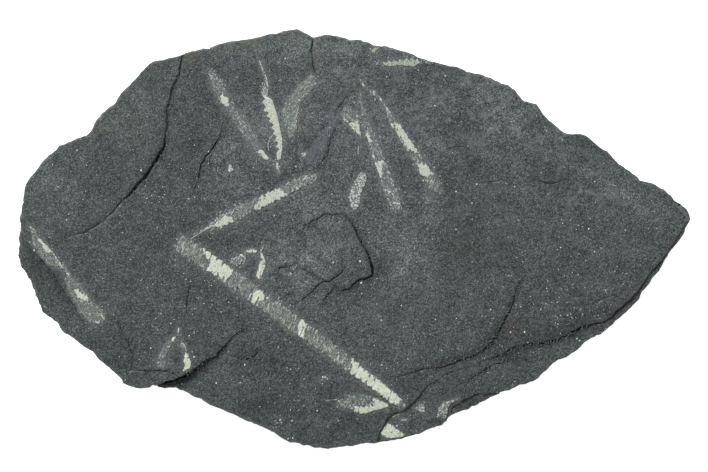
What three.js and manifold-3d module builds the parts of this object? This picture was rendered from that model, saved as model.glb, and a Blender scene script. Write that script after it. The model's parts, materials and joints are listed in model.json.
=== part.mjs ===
// A broken slab of dark shale with a cluster of graptolites pressed flat on its bedding plane.
// Millimetres. +X runs along the slab, +Y across it, +Z up from the underside that it rests on.
import * as THREE from "three";
import { mergeVertices } from "three/addons/utils/BufferGeometryUtils.js";
import Module from "manifold-3d";

// Driving dimensions
const BED = 10; // height of the main bedding plane above the underside
const FILM = 0.15; // thickness of a flattened graptolite
const THECA_PITCH = 1.06; // spacing of the thecae, which show as teeth along a stipe
const THECA_NOTCH = 0.27; // depth of the notch between two teeth
const NOTCH_BEHIND_TIP = 0.13; // how far past a tooth's tip its notch is cut
const STEP_LEAN = 0.25; // how far a step's face leans back for each millimetre of its height
const GROOVE_LEAN = 0.3; // half width of a crack for each millimetre of its depth
const GAP_LEAN = 0.15; // the same for the deep gap under the biggest step
const FILM_SEAT = 0.02; // clearance under a film that lies on the tilted lower ledge

// How far the cutting solids run past the bed: up into the open, and down into the rock
const SKY = 3;
const GROOVE_SKY = 0.6;
const ROOT = 1;

const wasm = await Module();
wasm.setup();

// Solids ---------------------------------------------------------------------------------

// A closed skin over rings that all hold the same number of points, listed from the bottom up.
function loft(rings) {
  const count = rings[0].length;
  const outlineOf = (ring) => ring.map(([x, y]) => new THREE.Vector2(x, y));
  const faces = [];
  for (const [a, b, c] of THREE.ShapeUtils.triangulateShape(outlineOf(rings[0]), [])) {
    faces.push(c, b, a);
  }
  const top = (rings.length - 1) * count;
  for (const [a, b, c] of THREE.ShapeUtils.triangulateShape(outlineOf(rings.at(-1)), [])) {
    faces.push(top + a, top + b, top + c);
  }
  for (let level = 0; level < rings.length - 1; level++) {
    for (let i = 0; i < count; i++) {
      const here = level * count + i;
      const next = level * count + ((i + 1) % count);
      faces.push(here, next, next + count, here, next + count, here + count);
    }
  }
  const geometry = new THREE.BufferGeometry();
  geometry.setAttribute("position", new THREE.Float32BufferAttribute(rings.flat(2), 3));
  geometry.setIndex(faces);
  return geometry;
}

function solidOf(geometry) {
  const bare = geometry.clone();
  bare.deleteAttribute("normal");
  bare.deleteAttribute("uv");
  const merged = mergeVertices(bare, 1e-4);
  return new wasm.Manifold(
    new wasm.Mesh({
      numProp: 3,
      vertProperties: merged.attributes.position.array,
      triVerts: new Uint32Array(merged.index.array),
    }),
  );
}

function geometryOf(solid) {
  const mesh = solid.getMesh();
  const geometry = new THREE.BufferGeometry();
  geometry.setAttribute("position", new THREE.BufferAttribute(mesh.vertProperties, 3));
  geometry.setIndex(new THREE.BufferAttribute(mesh.triVerts, 1));
  return geometry;
}

// Unit vector to the left of a line of points at point i.
function leftOf(line, i) {
  const before = line[Math.max(i - 1, 0)];
  const after = line[Math.min(i + 1, line.length - 1)];
  const run = Math.hypot(after[0] - before[0], after[1] - before[1]);
  return [-(after[1] - before[1]) / run, (after[0] - before[0]) / run];
}

// A line of points moved to its left, by a distance that may change from point to point.
function movedLeft(line, distanceAt) {
  return line.map(([x, y], i) => {
    const [nx, ny] = leftOf(line, i);
    const distance = distanceAt(x, y);
    return [x + nx * distance, y + ny * distance];
  });
}

// Height of a layer that leaves the bed at a hinge point and dips along a unit vector from there.
function layerFrom([hingeX, hingeY], [alongX, alongY], dip) {
  return (x, y) => BED - dip * ((x - hingeX) * alongX + (y - hingeY) * alongY);
}

// The rock that is missing beyond a step: everything above a floor, from the step's edge out to
// the far corners, anticlockwise. Its face leans back from the edge, which lies at the bed.
function missingRock(edge, farCorners, floorAt) {
  const foot = movedLeft(edge, (x, y) => STEP_LEAN * (BED - floorAt(x, y)));
  const brow = movedLeft(edge, () => -STEP_LEAN * SKY);
  const floor = [...foot, ...farCorners].map(([x, y]) => [x, y, floorAt(x, y)]);
  const roof = [...brow, ...farCorners].map(([x, y]) => [x, y, BED + SKY]);
  return solidOf(loft([floor, roof]));
}

// A layer that stands proud of the bed inside an anticlockwise edge and its far corners.
function proudLayer(edge, farCorners, topAt) {
  const foot = movedLeft(edge, () => -STEP_LEAN * ROOT);
  const base = [...foot, ...farCorners].map(([x, y]) => [x, y, BED - ROOT]);
  const top = [...edge, ...farCorners].map(([x, y]) => [x, y, topAt(x, y)]);
  return solidOf(loft([base, top]));
}

// A crack: a V-shaped groove along a line of points, each [x, y, depth], open at its bed.
function crack(line, bed = BED, lean = GROOVE_LEAN) {
  const sections = line.map(([x, y, depth], i) => {
    const [nx, ny] = leftOf(line, i);
    const half = lean * (depth + GROOVE_SKY);
    return [
      [x, y, bed - depth],
      [x - nx * half, y - ny * half, bed + GROOVE_SKY],
      [x + nx * half, y + ny * half, bed + GROOVE_SKY],
    ];
  });
  const faces = [0, 1, 2];
  for (let i = 0; i < sections.length - 1; i++) {
    for (let side = 0; side < 3; side++) {
      const a = i * 3 + side;
      const b = i * 3 + ((side + 1) % 3);
      faces.push(a, a + 3, b + 3, a, b + 3, b);
    }
  }
  const last = (sections.length - 1) * 3;
  faces.push(last, last + 2, last + 1);
  const geometry = new THREE.BufferGeometry();
  geometry.setAttribute("position", new THREE.Float32BufferAttribute(sections.flat(2), 3));
  geometry.setIndex(faces);
  return solidOf(geometry);
}

// A crack that opens from almost nothing at its ends to its full depth at the middle.
function hairline(line, depth, bed = BED) {
  const endShare = 0.15;
  const last = line.length - 1;
  const opened = line.map(([x, y], i) => {
    const share = THREE.MathUtils.lerp(endShare, 1, Math.sin((Math.PI * i) / last));
    return [x, y, depth * share];
  });
  return crack(opened, bed);
}

// A small pit where a grain has fallen out: a ragged funnel, wider one way than the other.
function pit([x, y], across, along, depth) {
  const corners = [[1, 0], [0.4, 0.8], [-0.5, 0.9], [-1, 0.1], [-0.7, -0.8], [0.5, -0.9]];
  const level = (z, share) =>
    corners.map(([cx, cy]) => [x + cx * across * share, y + cy * along * share, z]);
  return solidOf(loft([level(BED - depth, 0.3), level(BED, 1), level(BED + GROOVE_SKY, 1.5)]));
}

// Shale slab: its broken edge ------------------------------------------------------------

// The broken outline of the slab, clockwise from its left end.
const SLAB_OUTLINE = [
  [-49.9, 5.8], [-49.8, 7.5], [-49.3, 8.8], [-48.6, 9.6], [-47.9, 10.3], [-47.1, 11.5],
  [-45.7, 12.7], [-44.5, 13.9], [-43.1, 14.7], [-41.7, 15.1], [-40.4, 15.6], [-39.4, 16.8],
  [-39.0, 17.6], [-38.1, 18.7], [-37.0, 19.7], [-35.8, 20.8], [-34.8, 22.3], [-33.9, 23.3],
  [-32.8, 24.4], [-32.1, 25.3], [-30.6, 26.5], [-29.1, 27.1], [-27.4, 27.4], [-25.4, 28.0],
  [-24.3, 28.4], [-23.2, 28.6], [-21.8, 28.6], [-20.4, 29.3], [-18.8, 29.7], [-15.7, 30.2],
  [-12.0, 31.0], [-10.0, 31.4], [-8.7, 31.5], [-7.5, 30.9], [-6.1, 30.4], [-4.5, 30.8],
  [-2.5, 30.5], [-0.7, 30.0], [1.5, 29.7], [2.9, 29.1], [5.1, 28.9], [6.8, 28.3],
  [8.6, 27.8], [11.3, 26.8], [13.4, 26.3], [15.6, 25.8], [17.3, 25.1], [19.2, 24.6],
  [20.9, 23.7], [23.0, 22.9], [24.0, 22.3], [24.6, 21.5], [25.6, 20.7], [26.7, 20.5],
  [27.4, 20.1], [28.2, 19.0], [29.0, 18.0], [30.5, 16.7], [31.5, 15.9], [32.3, 15.7],
  [34.4, 15.7], [35.0, 15.4], [36.8, 13.9], [38.4, 12.7], [39.8, 11.3], [41.8, 9.9],
  [42.9, 8.9], [44.3, 8.5], [45.3, 8.1], [46.5, 7.3], [47.6, 6.5], [48.3, 5.7],
  [49.4, 5.0], [50.0, 4.3], [50.5, 3.5], [50.6, 3.0], [50.3, 2.3], [49.6, 1.2],
  [48.8, -0.2], [47.6, -1.6], [47.0, -2.7], [46.3, -3.8], [45.9, -4.8], [45.0, -5.9],
  [44.0, -7.1], [43.3, -7.8], [42.8, -9.0], [41.9, -10.1], [40.4, -11.4], [39.8, -12.1],
  [38.4, -13.1], [37.1, -14.2], [35.4, -15.1], [34.5, -15.6], [33.8, -16.4], [32.8, -17.2],
  [31.3, -18.1], [30.5, -18.3], [29.7, -18.8], [29.1, -19.5], [27.9, -20.4], [27.3, -21.2],
  [26.1, -21.7], [24.8, -22.1], [23.3, -22.8], [21.8, -23.2], [20.2, -24.1], [18.5, -24.9],
  [16.4, -25.8], [14.7, -26.4], [14.0, -26.8], [13.8, -27.4], [13.1, -27.9], [11.6, -28.5],
  [9.9, -29.2], [8.1, -29.8], [6.4, -30.2], [4.3, -30.6], [1.9, -30.8], [-0.7, -31.1],
  [-4.2, -31.5], [-6.4, -31.3], [-8.2, -30.9], [-10.2, -30.4], [-11.4, -29.8], [-12.1, -29.1],
  [-14.2, -28.2], [-15.4, -27.5], [-18.0, -26.5], [-20.2, -25.6], [-21.8, -24.9], [-23.1, -24.0],
  [-24.0, -23.8], [-25.8, -22.9], [-27.1, -22.5], [-28.8, -22.4], [-30.0, -22.1], [-32.1, -22.5],
  [-34.1, -22.1], [-34.9, -21.7], [-35.3, -20.9], [-36.2, -20.0], [-37.5, -18.9], [-38.8, -17.9],
  [-39.5, -16.9], [-40.8, -16.1], [-42.5, -15.0], [-44.1, -13.8], [-44.6, -12.9], [-45.7, -12.0],
  [-46.8, -11.2], [-47.2, -10.1], [-47.9, -8.9], [-48.2, -7.7], [-48.7, -6.2], [-49.5, -5.1],
  [-50.2, -4.1], [-50.5, -2.9], [-50.6, -1.8], [-50.4, -0.8], [-50.5, 0.0], [-50.2, 1.2],
  [-50.3, 2.7], [-50.1, 4.3],
];

// The side wall from the underside up: each parting of the shale sets back or juts out a little.
const WALL_COURSES = [
  { z: 0, back: 2.3, spread: 0.5 },
  { z: 1.3, back: 1.5, spread: 0.45 },
  { z: 1.5, back: 0.9, spread: 0.4 },
  { z: 3.3, back: 1.3, spread: 0.5 },
  { z: 3.5, back: 0.7, spread: 0.4 },
  { z: 5.4, back: 1.1, spread: 0.45 },
  { z: 5.6, back: 0.5, spread: 0.3 },
  { z: 7.5, back: 0.7, spread: 0.35 },
  { z: 7.7, back: 0.25, spread: 0.2 },
  { z: BED - 1, back: 0, spread: 0 },
];
const CREST = { z: BED + 0.8, back: 0.35 };

// A repeatable value between -1 and 1 that wanders with the bearing round the slab.
function wander(bearing, course) {
  return (
    0.5 * Math.sin(5 * bearing + 2.1 * course) +
    0.3 * Math.sin(13 * bearing - 3.7 * course) +
    0.2 * Math.sin(31 * bearing + 1.3 * course)
  );
}

// The outline, anticlockwise, drawn in toward the slab's middle at one height.
function ring(z, backAt) {
  return SLAB_OUTLINE.toReversed().map(([x, y]) => {
    const keep = 1 - backAt(x, y) / Math.hypot(x, y);
    return [x * keep, y * keep, z];
  });
}

function rawSlab() {
  const courses = WALL_COURSES.map(({ z, back, spread }, course) =>
    ring(z, (x, y) => back + spread * wander(Math.atan2(y, x), course)),
  );
  return solidOf(loft([...courses, ring(CREST.z, () => CREST.back)]));
}

// Shale slab: flakes and steps of its upper surface ---------------------------------------

const FAR = { left: -56, right: 56, front: -36, back: 36 };

function aboveTheBed() {
  const { left, right, front, back } = FAR;
  return missingRock([], [[left, front], [right, front], [right, back], [left, back]], () => BED);
}

// The upper left flake stands proud of the bed and thins out to nothing along its toe.
const UPPER_FLAKE_EDGE = [
  [-43.3, 0.2], [-41.7, 0.6], [-40.6, 1.2], [-39.4, 1.8], [-37.9, 2.8], [-36.6, 4.0],
  [-34.8, 6.0], [-33.5, 7.2], [-32.1, 8.9], [-30.9, 10.5], [-30.0, 11.7], [-29.2, 13.1],
  [-28.6, 14.4], [-28.4, 15.8], [-28.2, 17.7], [-28.3, 19.3], [-27.9, 20.5], [-27.4, 22.7],
  [-26.8, 23.9], [-26.4, 25.0], [-25.9, 26.8], [-25.8, 29.5],
];
const upperFlakeTop = layerFrom([-43.3, 0.2], [0.426, 0.904], -0.018);

function upperFlake() {
  const corners = [[-25.8, FAR.back], [FAR.left, FAR.back], [FAR.left, 6.2]];
  return proudLayer(UPPER_FLAKE_EDGE, corners, upperFlakeTop);
}

// The centre flake is hinged on its left and lifts toward its right and lower edge.
const CENTRE_FLAKE_EDGE = [
  [-8.1, 0.9], [-7.6, 0.3], [-7.7, -1.0], [-8.1, -3.1], [-8.2, -4.1], [-7.0, -5.0],
  [-5.2, -5.9], [-3.7, -6.3], [-2.8, -7.0], [-2.0, -7.7], [-0.9, -7.4], [-0.3, -6.8],
  [0.6, -6.0], [1.8, -5.7], [2.8, -5.4], [2.6, -4.6], [2.0, -2.5], [1.2, -1.0],
  [0.5, 0.3], [0.0, 1.5], [-0.7, 2.7], [-1.7, 3.6], [-3.8, 3.6], [-4.7, 3.5],
  [-5.4, 2.9], [-6.9, 2.4], [-7.8, 1.6],
];
const centreFlakeTop = layerFrom([-8.3, 0], [1, 0], -0.04);

function centreFlake() {
  return proudLayer(CENTRE_FLAKE_EDGE, [], centreFlakeTop);
}

// Left margin: a strip beside the left margin stipe has split off, deepest at the slab's end.
const leftMarginFloor = layerFrom([-40.4, -12.9], [-0.572, 0.82], 0.05);

function leftMarginStep() {
  const edge = [
    [-40.4, -12.9], [-41.0, -11.8], [-41.7, -10.6], [-42.7, -9.1], [-43.6, -7.8], [-44.6, -6.4],
    [-45.4, -5.1], [-46.1, -4.1], [-47.3, -3.0], [-48.2, -1.8], [-48.8, -0.7], [-49.6, 0.2],
    [-51.5, 0.8],
  ];
  const corners = [[FAR.left, 0.8], [FAR.left, -20], [-38, -20]];
  return missingRock(edge, corners, leftMarginFloor);
}

// Lower left: the biggest step, a millimetre high at the slab's edge, fading to the upper right.
const lowerLeftFloor = layerFrom([-15.7, -12.9], [-0.867, -0.499], 0.075);

function lowerLeftStep() {
  const edge = [
    [-15.7, -12.9], [-17.1, -13.7], [-18.7, -15.0], [-19.7, -16.1], [-20.6, -16.9],
    [-21.4, -17.7], [-22.5, -18.2], [-23.6, -19.1], [-24.7, -19.8], [-25.7, -20.4],
    [-27.0, -21.0], [-28.3, -21.6], [-29.9, -21.9], [-31.4, -22.1], [-33.0, -22.6],
  ];
  return missingRock(edge, [[-33.0, FAR.front], [-2.4, FAR.front]], lowerLeftFloor);
}

// Lower right, first step: a shallow sliver between the bed and the lower ledge. It sinks away
// from its head and is deepest half way along.
const SLIVER = { depth: 0.34, left: 6.4, right: 41, headX: 24.1, headY: -8.3, headRise: 0.18, run: 6 };

function sliverFloor(x, y) {
  const along = THREE.MathUtils.clamp((x - SLIVER.left) / (SLIVER.right - SLIVER.left), 0, 1);
  const head = SLIVER.headY - SLIVER.headRise * (x - SLIVER.headX);
  const belowHead = THREE.MathUtils.clamp((head - y) / SLIVER.run, 0, 1);
  return BED - SLIVER.depth * Math.sin(Math.PI * along) * belowHead;
}

function lowerRightSliver() {
  const edge = [
    [24.1, -8.3], [24.0, -9.3], [23.4, -10.7], [22.8, -11.8], [22.2, -12.7], [21.7, -13.9],
    [21.1, -15.1], [20.0, -16.1], [18.4, -17.2], [16.4, -18.0], [14.7, -18.6], [12.9, -19.2],
    [10.9, -19.4], [8.8, -19.9], [6.4, -20.7],
  ];
  const corners = [
    [10.2, -23.4], [12.6, -22.0], [18.5, -20.0], [24.9, -17.2], [31.6, -16.2], [41.0, -11.4],
  ];
  return missingRock(edge, corners, sliverFloor);
}

// Lower right, second step: it drops to the lower ledge, which dips gently outward, and leaves
// only a narrow shelf along the slab's right margin.
const LEDGE = { hinge: [33.9, 0], down: [0.5, -0.866], dip: 0.037 };
const lowerLedge = layerFrom(LEDGE.hinge, LEDGE.down, LEDGE.dip);

function lowerRightStep() {
  const edge = [
    [51.2, 3.0], [49.7, 2.3], [48.9, 1.2], [47.9, -0.4], [46.9, -2.0], [46.0, -3.2],
    [44.7, -4.5], [43.8, -5.8], [42.9, -7.1], [41.9, -8.4], [40.8, -9.5], [39.3, -10.8],
    [38.2, -11.8], [37.2, -12.4], [35.6, -12.7], [34.2, -13.1], [32.6, -13.8], [31.6, -14.7],
    [30.1, -15.1], [28.0, -15.4], [24.9, -15.9], [23.7, -16.4], [21.9, -17.3], [20.2, -17.9],
    [18.5, -18.7], [14.0, -20.0], [12.6, -20.9], [10.9, -22.1], [9.6, -23.5], [9.1, -24.2],
    [8.6, -24.7], [8.0, -25.3], [7.4, -25.6], [7.0, -25.9], [6.4, -26.0], [5.5, -26.4],
    [5.0, -26.9], [4.6, -27.4], [4.1, -28.2], [3.6, -29.1], [3.3, -30.0], [3.2, -32.0],
  ];
  const corners = [[3.2, FAR.front], [FAR.right, FAR.front], [FAR.right, 3.0]];
  return missingRock(edge, corners, lowerLedge);
}

// Lower right rim: a piece has broken out below the ledge, beside the lower right fragment.
const BROKEN_RIM_DEPTH = 0.8;

function brokenRim() {
  const edge = [
    [24.0, -23.0], [21.6, -23.0], [18.5, -23.1], [16.7, -23.8], [15.6, -24.6], [14.7, -25.2],
    [14.35, -26.1], [14.0, -27.2], [13.7, -29.5],
  ];
  return missingRock(edge, [[24.0, -29.5]], () => BED - BROKEN_RIM_DEPTH);
}

// Shale slab: cracks ----------------------------------------------------------------------

function cracks() {
  return [
    // along the foot of the upper left flake, widest half way
    crack([
      [-43.6, 0.1, 0.05], [-42.0, 0.5, 0.15], [-40.5, 1.0, 0.25], [-37.8, 2.6, 0.4],
      [-36.4, 4.0, 0.5], [-34.7, 5.8, 0.6], [-33.3, 7.1, 0.7], [-31.9, 8.8, 0.8],
      [-30.7, 10.4, 0.8], [-29.7, 11.7, 0.85], [-28.9, 13.1, 0.8], [-28.4, 14.4, 0.65],
      [-28.2, 15.8, 0.45], [-28.0, 17.7, 0.35], [-28.1, 19.3, 0.4], [-27.7, 20.5, 0.6],
      [-27.2, 22.7, 0.65], [-26.6, 23.9, 0.5], [-26.2, 25.0, 0.3], [-25.6, 29.5, 0.15],
    ]),
    // under the foot of the biggest step, where the rock has opened into a dark gap
    crack([
      [-16.4, -13.7, 0.1], [-18.6, -15.4, 0.3], [-20.4, -17.2, 0.5], [-22.9, -19.0, 0.8],
      [-24.7, -20.2, 1.2], [-27.0, -21.3, 1.7], [-29.9, -22.1, 1.7], [-33.0, -22.7, 1.5],
    ], BED, GAP_LEAN),
    // at the foot of the left margin's step
    crack([
      [-40.6, -12.6, 0.1], [-41.1, -11.8, 0.2], [-42.8, -9.1, 0.42], [-44.7, -6.4, 0.6],
      [-46.2, -4.1, 0.6], [-48.3, -1.8, 0.35], [-49.7, 0.2, 0.15],
    ]),
    // at the foot of the lower right sliver's head and brow
    crack([
      [25.2, -5.6, 0.1], [24.4, -7.4, 0.3], [23.9, -9.3, 0.45], [23.3, -10.8, 0.6],
      [22.6, -12.1, 0.85], [22.1, -13.1, 0.7], [21.5, -14.2, 0.9], [20.9, -15.3, 0.7],
      [20.0, -16.3, 0.85], [18.4, -17.3, 0.6], [16.4, -18.1, 0.65], [14.7, -18.7, 0.5],
      [12.9, -19.3, 0.45], [10.9, -19.5, 0.35], [6.4, -20.8, 0.1],
    ]),
    // at the foot of the second step
    crack([
      [43.0, -7.3, 0.1], [40.9, -9.7, 0.3], [39.4, -11.0, 0.45], [38.3, -12.0, 0.5],
      [37.2, -12.6, 0.4], [35.6, -12.9, 0.3], [34.2, -13.3, 0.4], [32.6, -14.0, 0.6],
      [31.5, -14.9, 0.55], [30.1, -15.3, 0.6], [28.0, -15.6, 0.5], [24.9, -16.1, 0.4],
      [23.6, -16.6, 0.5], [21.8, -17.5, 0.35], [20.1, -18.1, 0.1],
    ], BED - 0.4),
    // along the lifted right and lower edges of the centre flake
    crack([
      [-0.9, 3.0, 0.15], [0.0, 1.9, 0.4], [0.65, 0.4, 0.5], [1.35, -0.95, 0.55],
      [2.15, -2.5, 0.65], [2.7, -4.5, 0.75], [2.85, -5.4, 0.6], [1.9, -5.9, 0.35],
      [0.6, -6.2, 0.4], [-0.2, -6.9, 0.45], [-0.9, -7.5, 0.3], [-2.0, -7.9, 0.3],
      [-2.8, -7.2, 0.15],
    ]),
    // at the top edge, by the worn stipe
    crack([
      [-6.2, 31.5, 0.5], [-6.5, 28.3, 0.5], [-6.3, 26.8, 0.4], [-6.1, 25.3, 0.45],
      [-5.5, 24.3, 0.1],
    ]),
    // upper left, inside the flake's curve
    hairline([
      [-19.7, 16.5], [-20.3, 15.6], [-20.7, 14.6], [-21.5, 13.2], [-22.3, 12.4], [-23.0, 11.3],
      [-23.1, 10.1], [-23.5, 8.8], [-24.2, 7.0],
    ], 0.65),
    hairline([[-21.6, 12.2], [-21.7, 11.3], [-21.7, 10.5]], 0.25),
    // between the worn stipe and the speckled fragment
    hairline([[-1.3, 21.4], [-1.9, 20.2], [-3.0, 19.0]], 0.35),
    hairline([
      [-2.2, 17.7], [-3.0, 16.2], [-3.6, 14.9], [-3.9, 13.3], [-4.7, 11.8], [-5.4, 10.8],
      [-6.6, 10.1],
    ], 0.3),
    // by the near end of the long biserial
    hairline([[-22.9, -0.2], [-22.2, 0.2], [-21.6, 0.5]], 0.3),
    hairline([
      [-23.3, -5.1], [-24.3, -6.3], [-25.0, -7.7], [-25.2, -9.5], [-25.4, -11.5], [-25.3, -13.1],
    ], 0.25),
    // lower left
    hairline([
      [-33.7, -19.7], [-31.8, -19.9], [-30.1, -19.8], [-28.3, -19.9], [-27.0, -20.2],
      [-26.0, -20.9],
    ], 0.45),
    hairline([
      [-35.6, -10.4], [-35.4, -12.5], [-34.7, -14.3], [-33.9, -15.6], [-33.3, -17.7],
      [-33.4, -19.6],
    ], 0.35),
    hairline([
      [-20.2, -17.0], [-19.2, -17.5], [-17.7, -17.8], [-16.5, -18.1], [-15.2, -17.7],
      [-14.2, -16.7],
    ], 0.45, BED - 0.25),
    hairline([[-17.3, -9.2], [-17.2, -10.7], [-17.0, -12.5]], 0.3),
    // along the top of the centre flake, across it and out from it
    hairline([
      [-8.2, 0.9], [-7.3, 2.1], [-6.4, 2.6], [-5.4, 3.1], [-4.4, 3.7], [-3.1, 3.7], [-1.8, 3.8],
      [-1.0, 5.1],
    ], 0.35),
    hairline([
      [-1.6, -4.5], [-2.7, -5.7], [-3.7, -6.3], [-4.6, -6.4], [-5.1, -6.6], [-5.7, -7.2],
      [-6.7, -8.2], [-7.8, -9.1], [-9.0, -9.9],
    ], 0.45),
    hairline([[-2.8, -7.1], [-3.7, -8.0], [-4.4, -8.9], [-4.9, -10.1]], 0.45),
    hairline([[-8.6, -3.7], [-10.0, -4.2], [-11.2, -4.4], [-11.5, -5.4]], 0.35),
    hairline([[-9.2, -8.2], [-9.9, -8.3], [-10.6, -8.6], [-11.3, -9.1]], 0.25),
    // between the long biserial and the lower stipe fragment
    hairline([
      [2.1, -23.2], [3.1, -23.6], [4.2, -23.85], [4.8, -24.4], [5.6, -24.85], [6.4, -25.4],
    ], 0.3),
    // right of the long biserial, on the ledge below the second step
    hairline([
      [24.8, -17.6], [23.3, -18.2], [21.0, -19.0], [18.5, -20.4], [16.7, -21.4], [14.5, -22.7],
    ], 0.5, BED - 0.35),
    hairline([[25.4, -18.0], [26.4, -18.4], [27.2, -18.7]], 0.5, BED - 0.4),
    // right end
    hairline([[36.2, -9.2], [37.5, -8.9], [39.1, -8.3]], 0.25),
    // crescent-shaped scars in the open ground on the right
    hairline([
      [26.6, 9.8], [27.3, 9.1], [28.4, 8.3], [29.4, 8.2], [30.9, 8.7], [32.0, 9.1],
    ], 0.35),
    hairline([[13.8, 13.2], [14.6, 13.6], [15.5, 13.9], [16.9, 13.8]], 0.25),
    hairline([[18.6, 8.3], [20.4, 8.5], [22.5, 8.8]], 0.2),
    hairline([[16.8, 4.0], [17.7, 3.8], [18.6, 3.4]], 0.2),
  ];
}

function pits() {
  return [
    pit([48.6, 5.0], 0.3, 0.25, 0.5),
    pit([49.6, 3.2], 0.25, 0.3, 0.45),
    pit([47.9, 1.3], 0.35, 0.3, 0.5),
    pit([45.2, -2.9], 0.4, 0.3, 0.4),
    pit([-14.7, -19.7], 0.35, 0.25, 0.5),
    pit([30.6, -16.9], 0.3, 0.25, 1.0),
  ];
}

function shaleSlab() {
  const raw = rawSlab();
  const layered = raw
    .subtract(aboveTheBed())
    .add(raw.intersect(upperFlake()))
    .add(centreFlake());
  const missing = [
    leftMarginStep(),
    lowerLeftStep(),
    lowerRightSliver(),
    lowerRightStep(),
    brokenRim(),
    ...cracks(),
    ...pits(),
  ];
  return geometryOf(missing.reduce((slab, gap) => slab.subtract(gap), layered));
}

// Graptolites: how a flattened colony is drawn ---------------------------------------------

// A film of one outline lying on the bed.
function film(outline) {
  const shape = new THREE.Shape(outline.map(([x, y]) => new THREE.Vector2(x, y)));
  const geometry = new THREE.ExtrudeGeometry(shape, { depth: FILM, bevelEnabled: false });
  return geometry.translate(0, 0, BED);
}

// A film on the lower ledge, tilted as the ledge is.
function filmOnLedge(outline) {
  const drop = lowerLedge(0, 0) - BED + FILM_SEAT;
  const [downX, downY] = LEDGE.down;
  const tilt = new THREE.Matrix4().set(
    1, 0, 0, 0,
    0, 1, 0, 0,
    -LEDGE.dip * downX, -LEDGE.dip * downY, 1, drop,
    0, 0, 0, 1,
  );
  return film(outline).applyMatrix4(tilt);
}

// The outline of a stipe: up the left side of its axis and back down the right. The axis holds
// [x, y, half width] points, and a toothed side drops into a notch after each theca's tip, except
// where the stipe is drawn out into a thread.
function stipe(axis, toothed = []) {
  const points = axis.map(([x, y, half]) => new THREE.Vector3(x, y, half));
  const curve = new THREE.CatmullRomCurve3(points);
  const thecae = Math.max(2, Math.round(curve.getLength() / THECA_PITCH));
  const side = (sign, hasTeeth) => {
    const edge = [];
    for (let i = 0; i <= thecae; i++) {
      const tip = curve.getPointAt(i / thecae);
      const ahead = curve.getTangentAt(i / thecae).setZ(0).normalize();
      const out = (width) => [tip.x - sign * ahead.y * width, tip.y + sign * ahead.x * width];
      edge.push(out(tip.z));
      if (hasTeeth && i > 0 && i < thecae && tip.z > 2 * THECA_NOTCH) {
        const [x, y] = out(tip.z - THECA_NOTCH);
        edge.push([x + ahead.x * NOTCH_BEHIND_TIP, y + ahead.y * NOTCH_BEHIND_TIP]);
      }
    }
    return edge;
  };
  const left = side(1, toothed.includes("left"));
  const right = side(-1, toothed.includes("right"));
  return [...left, ...right.reverse()];
}

// Graptolites: the colonies and fragments, each on its own part of the slab -------------------

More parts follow.
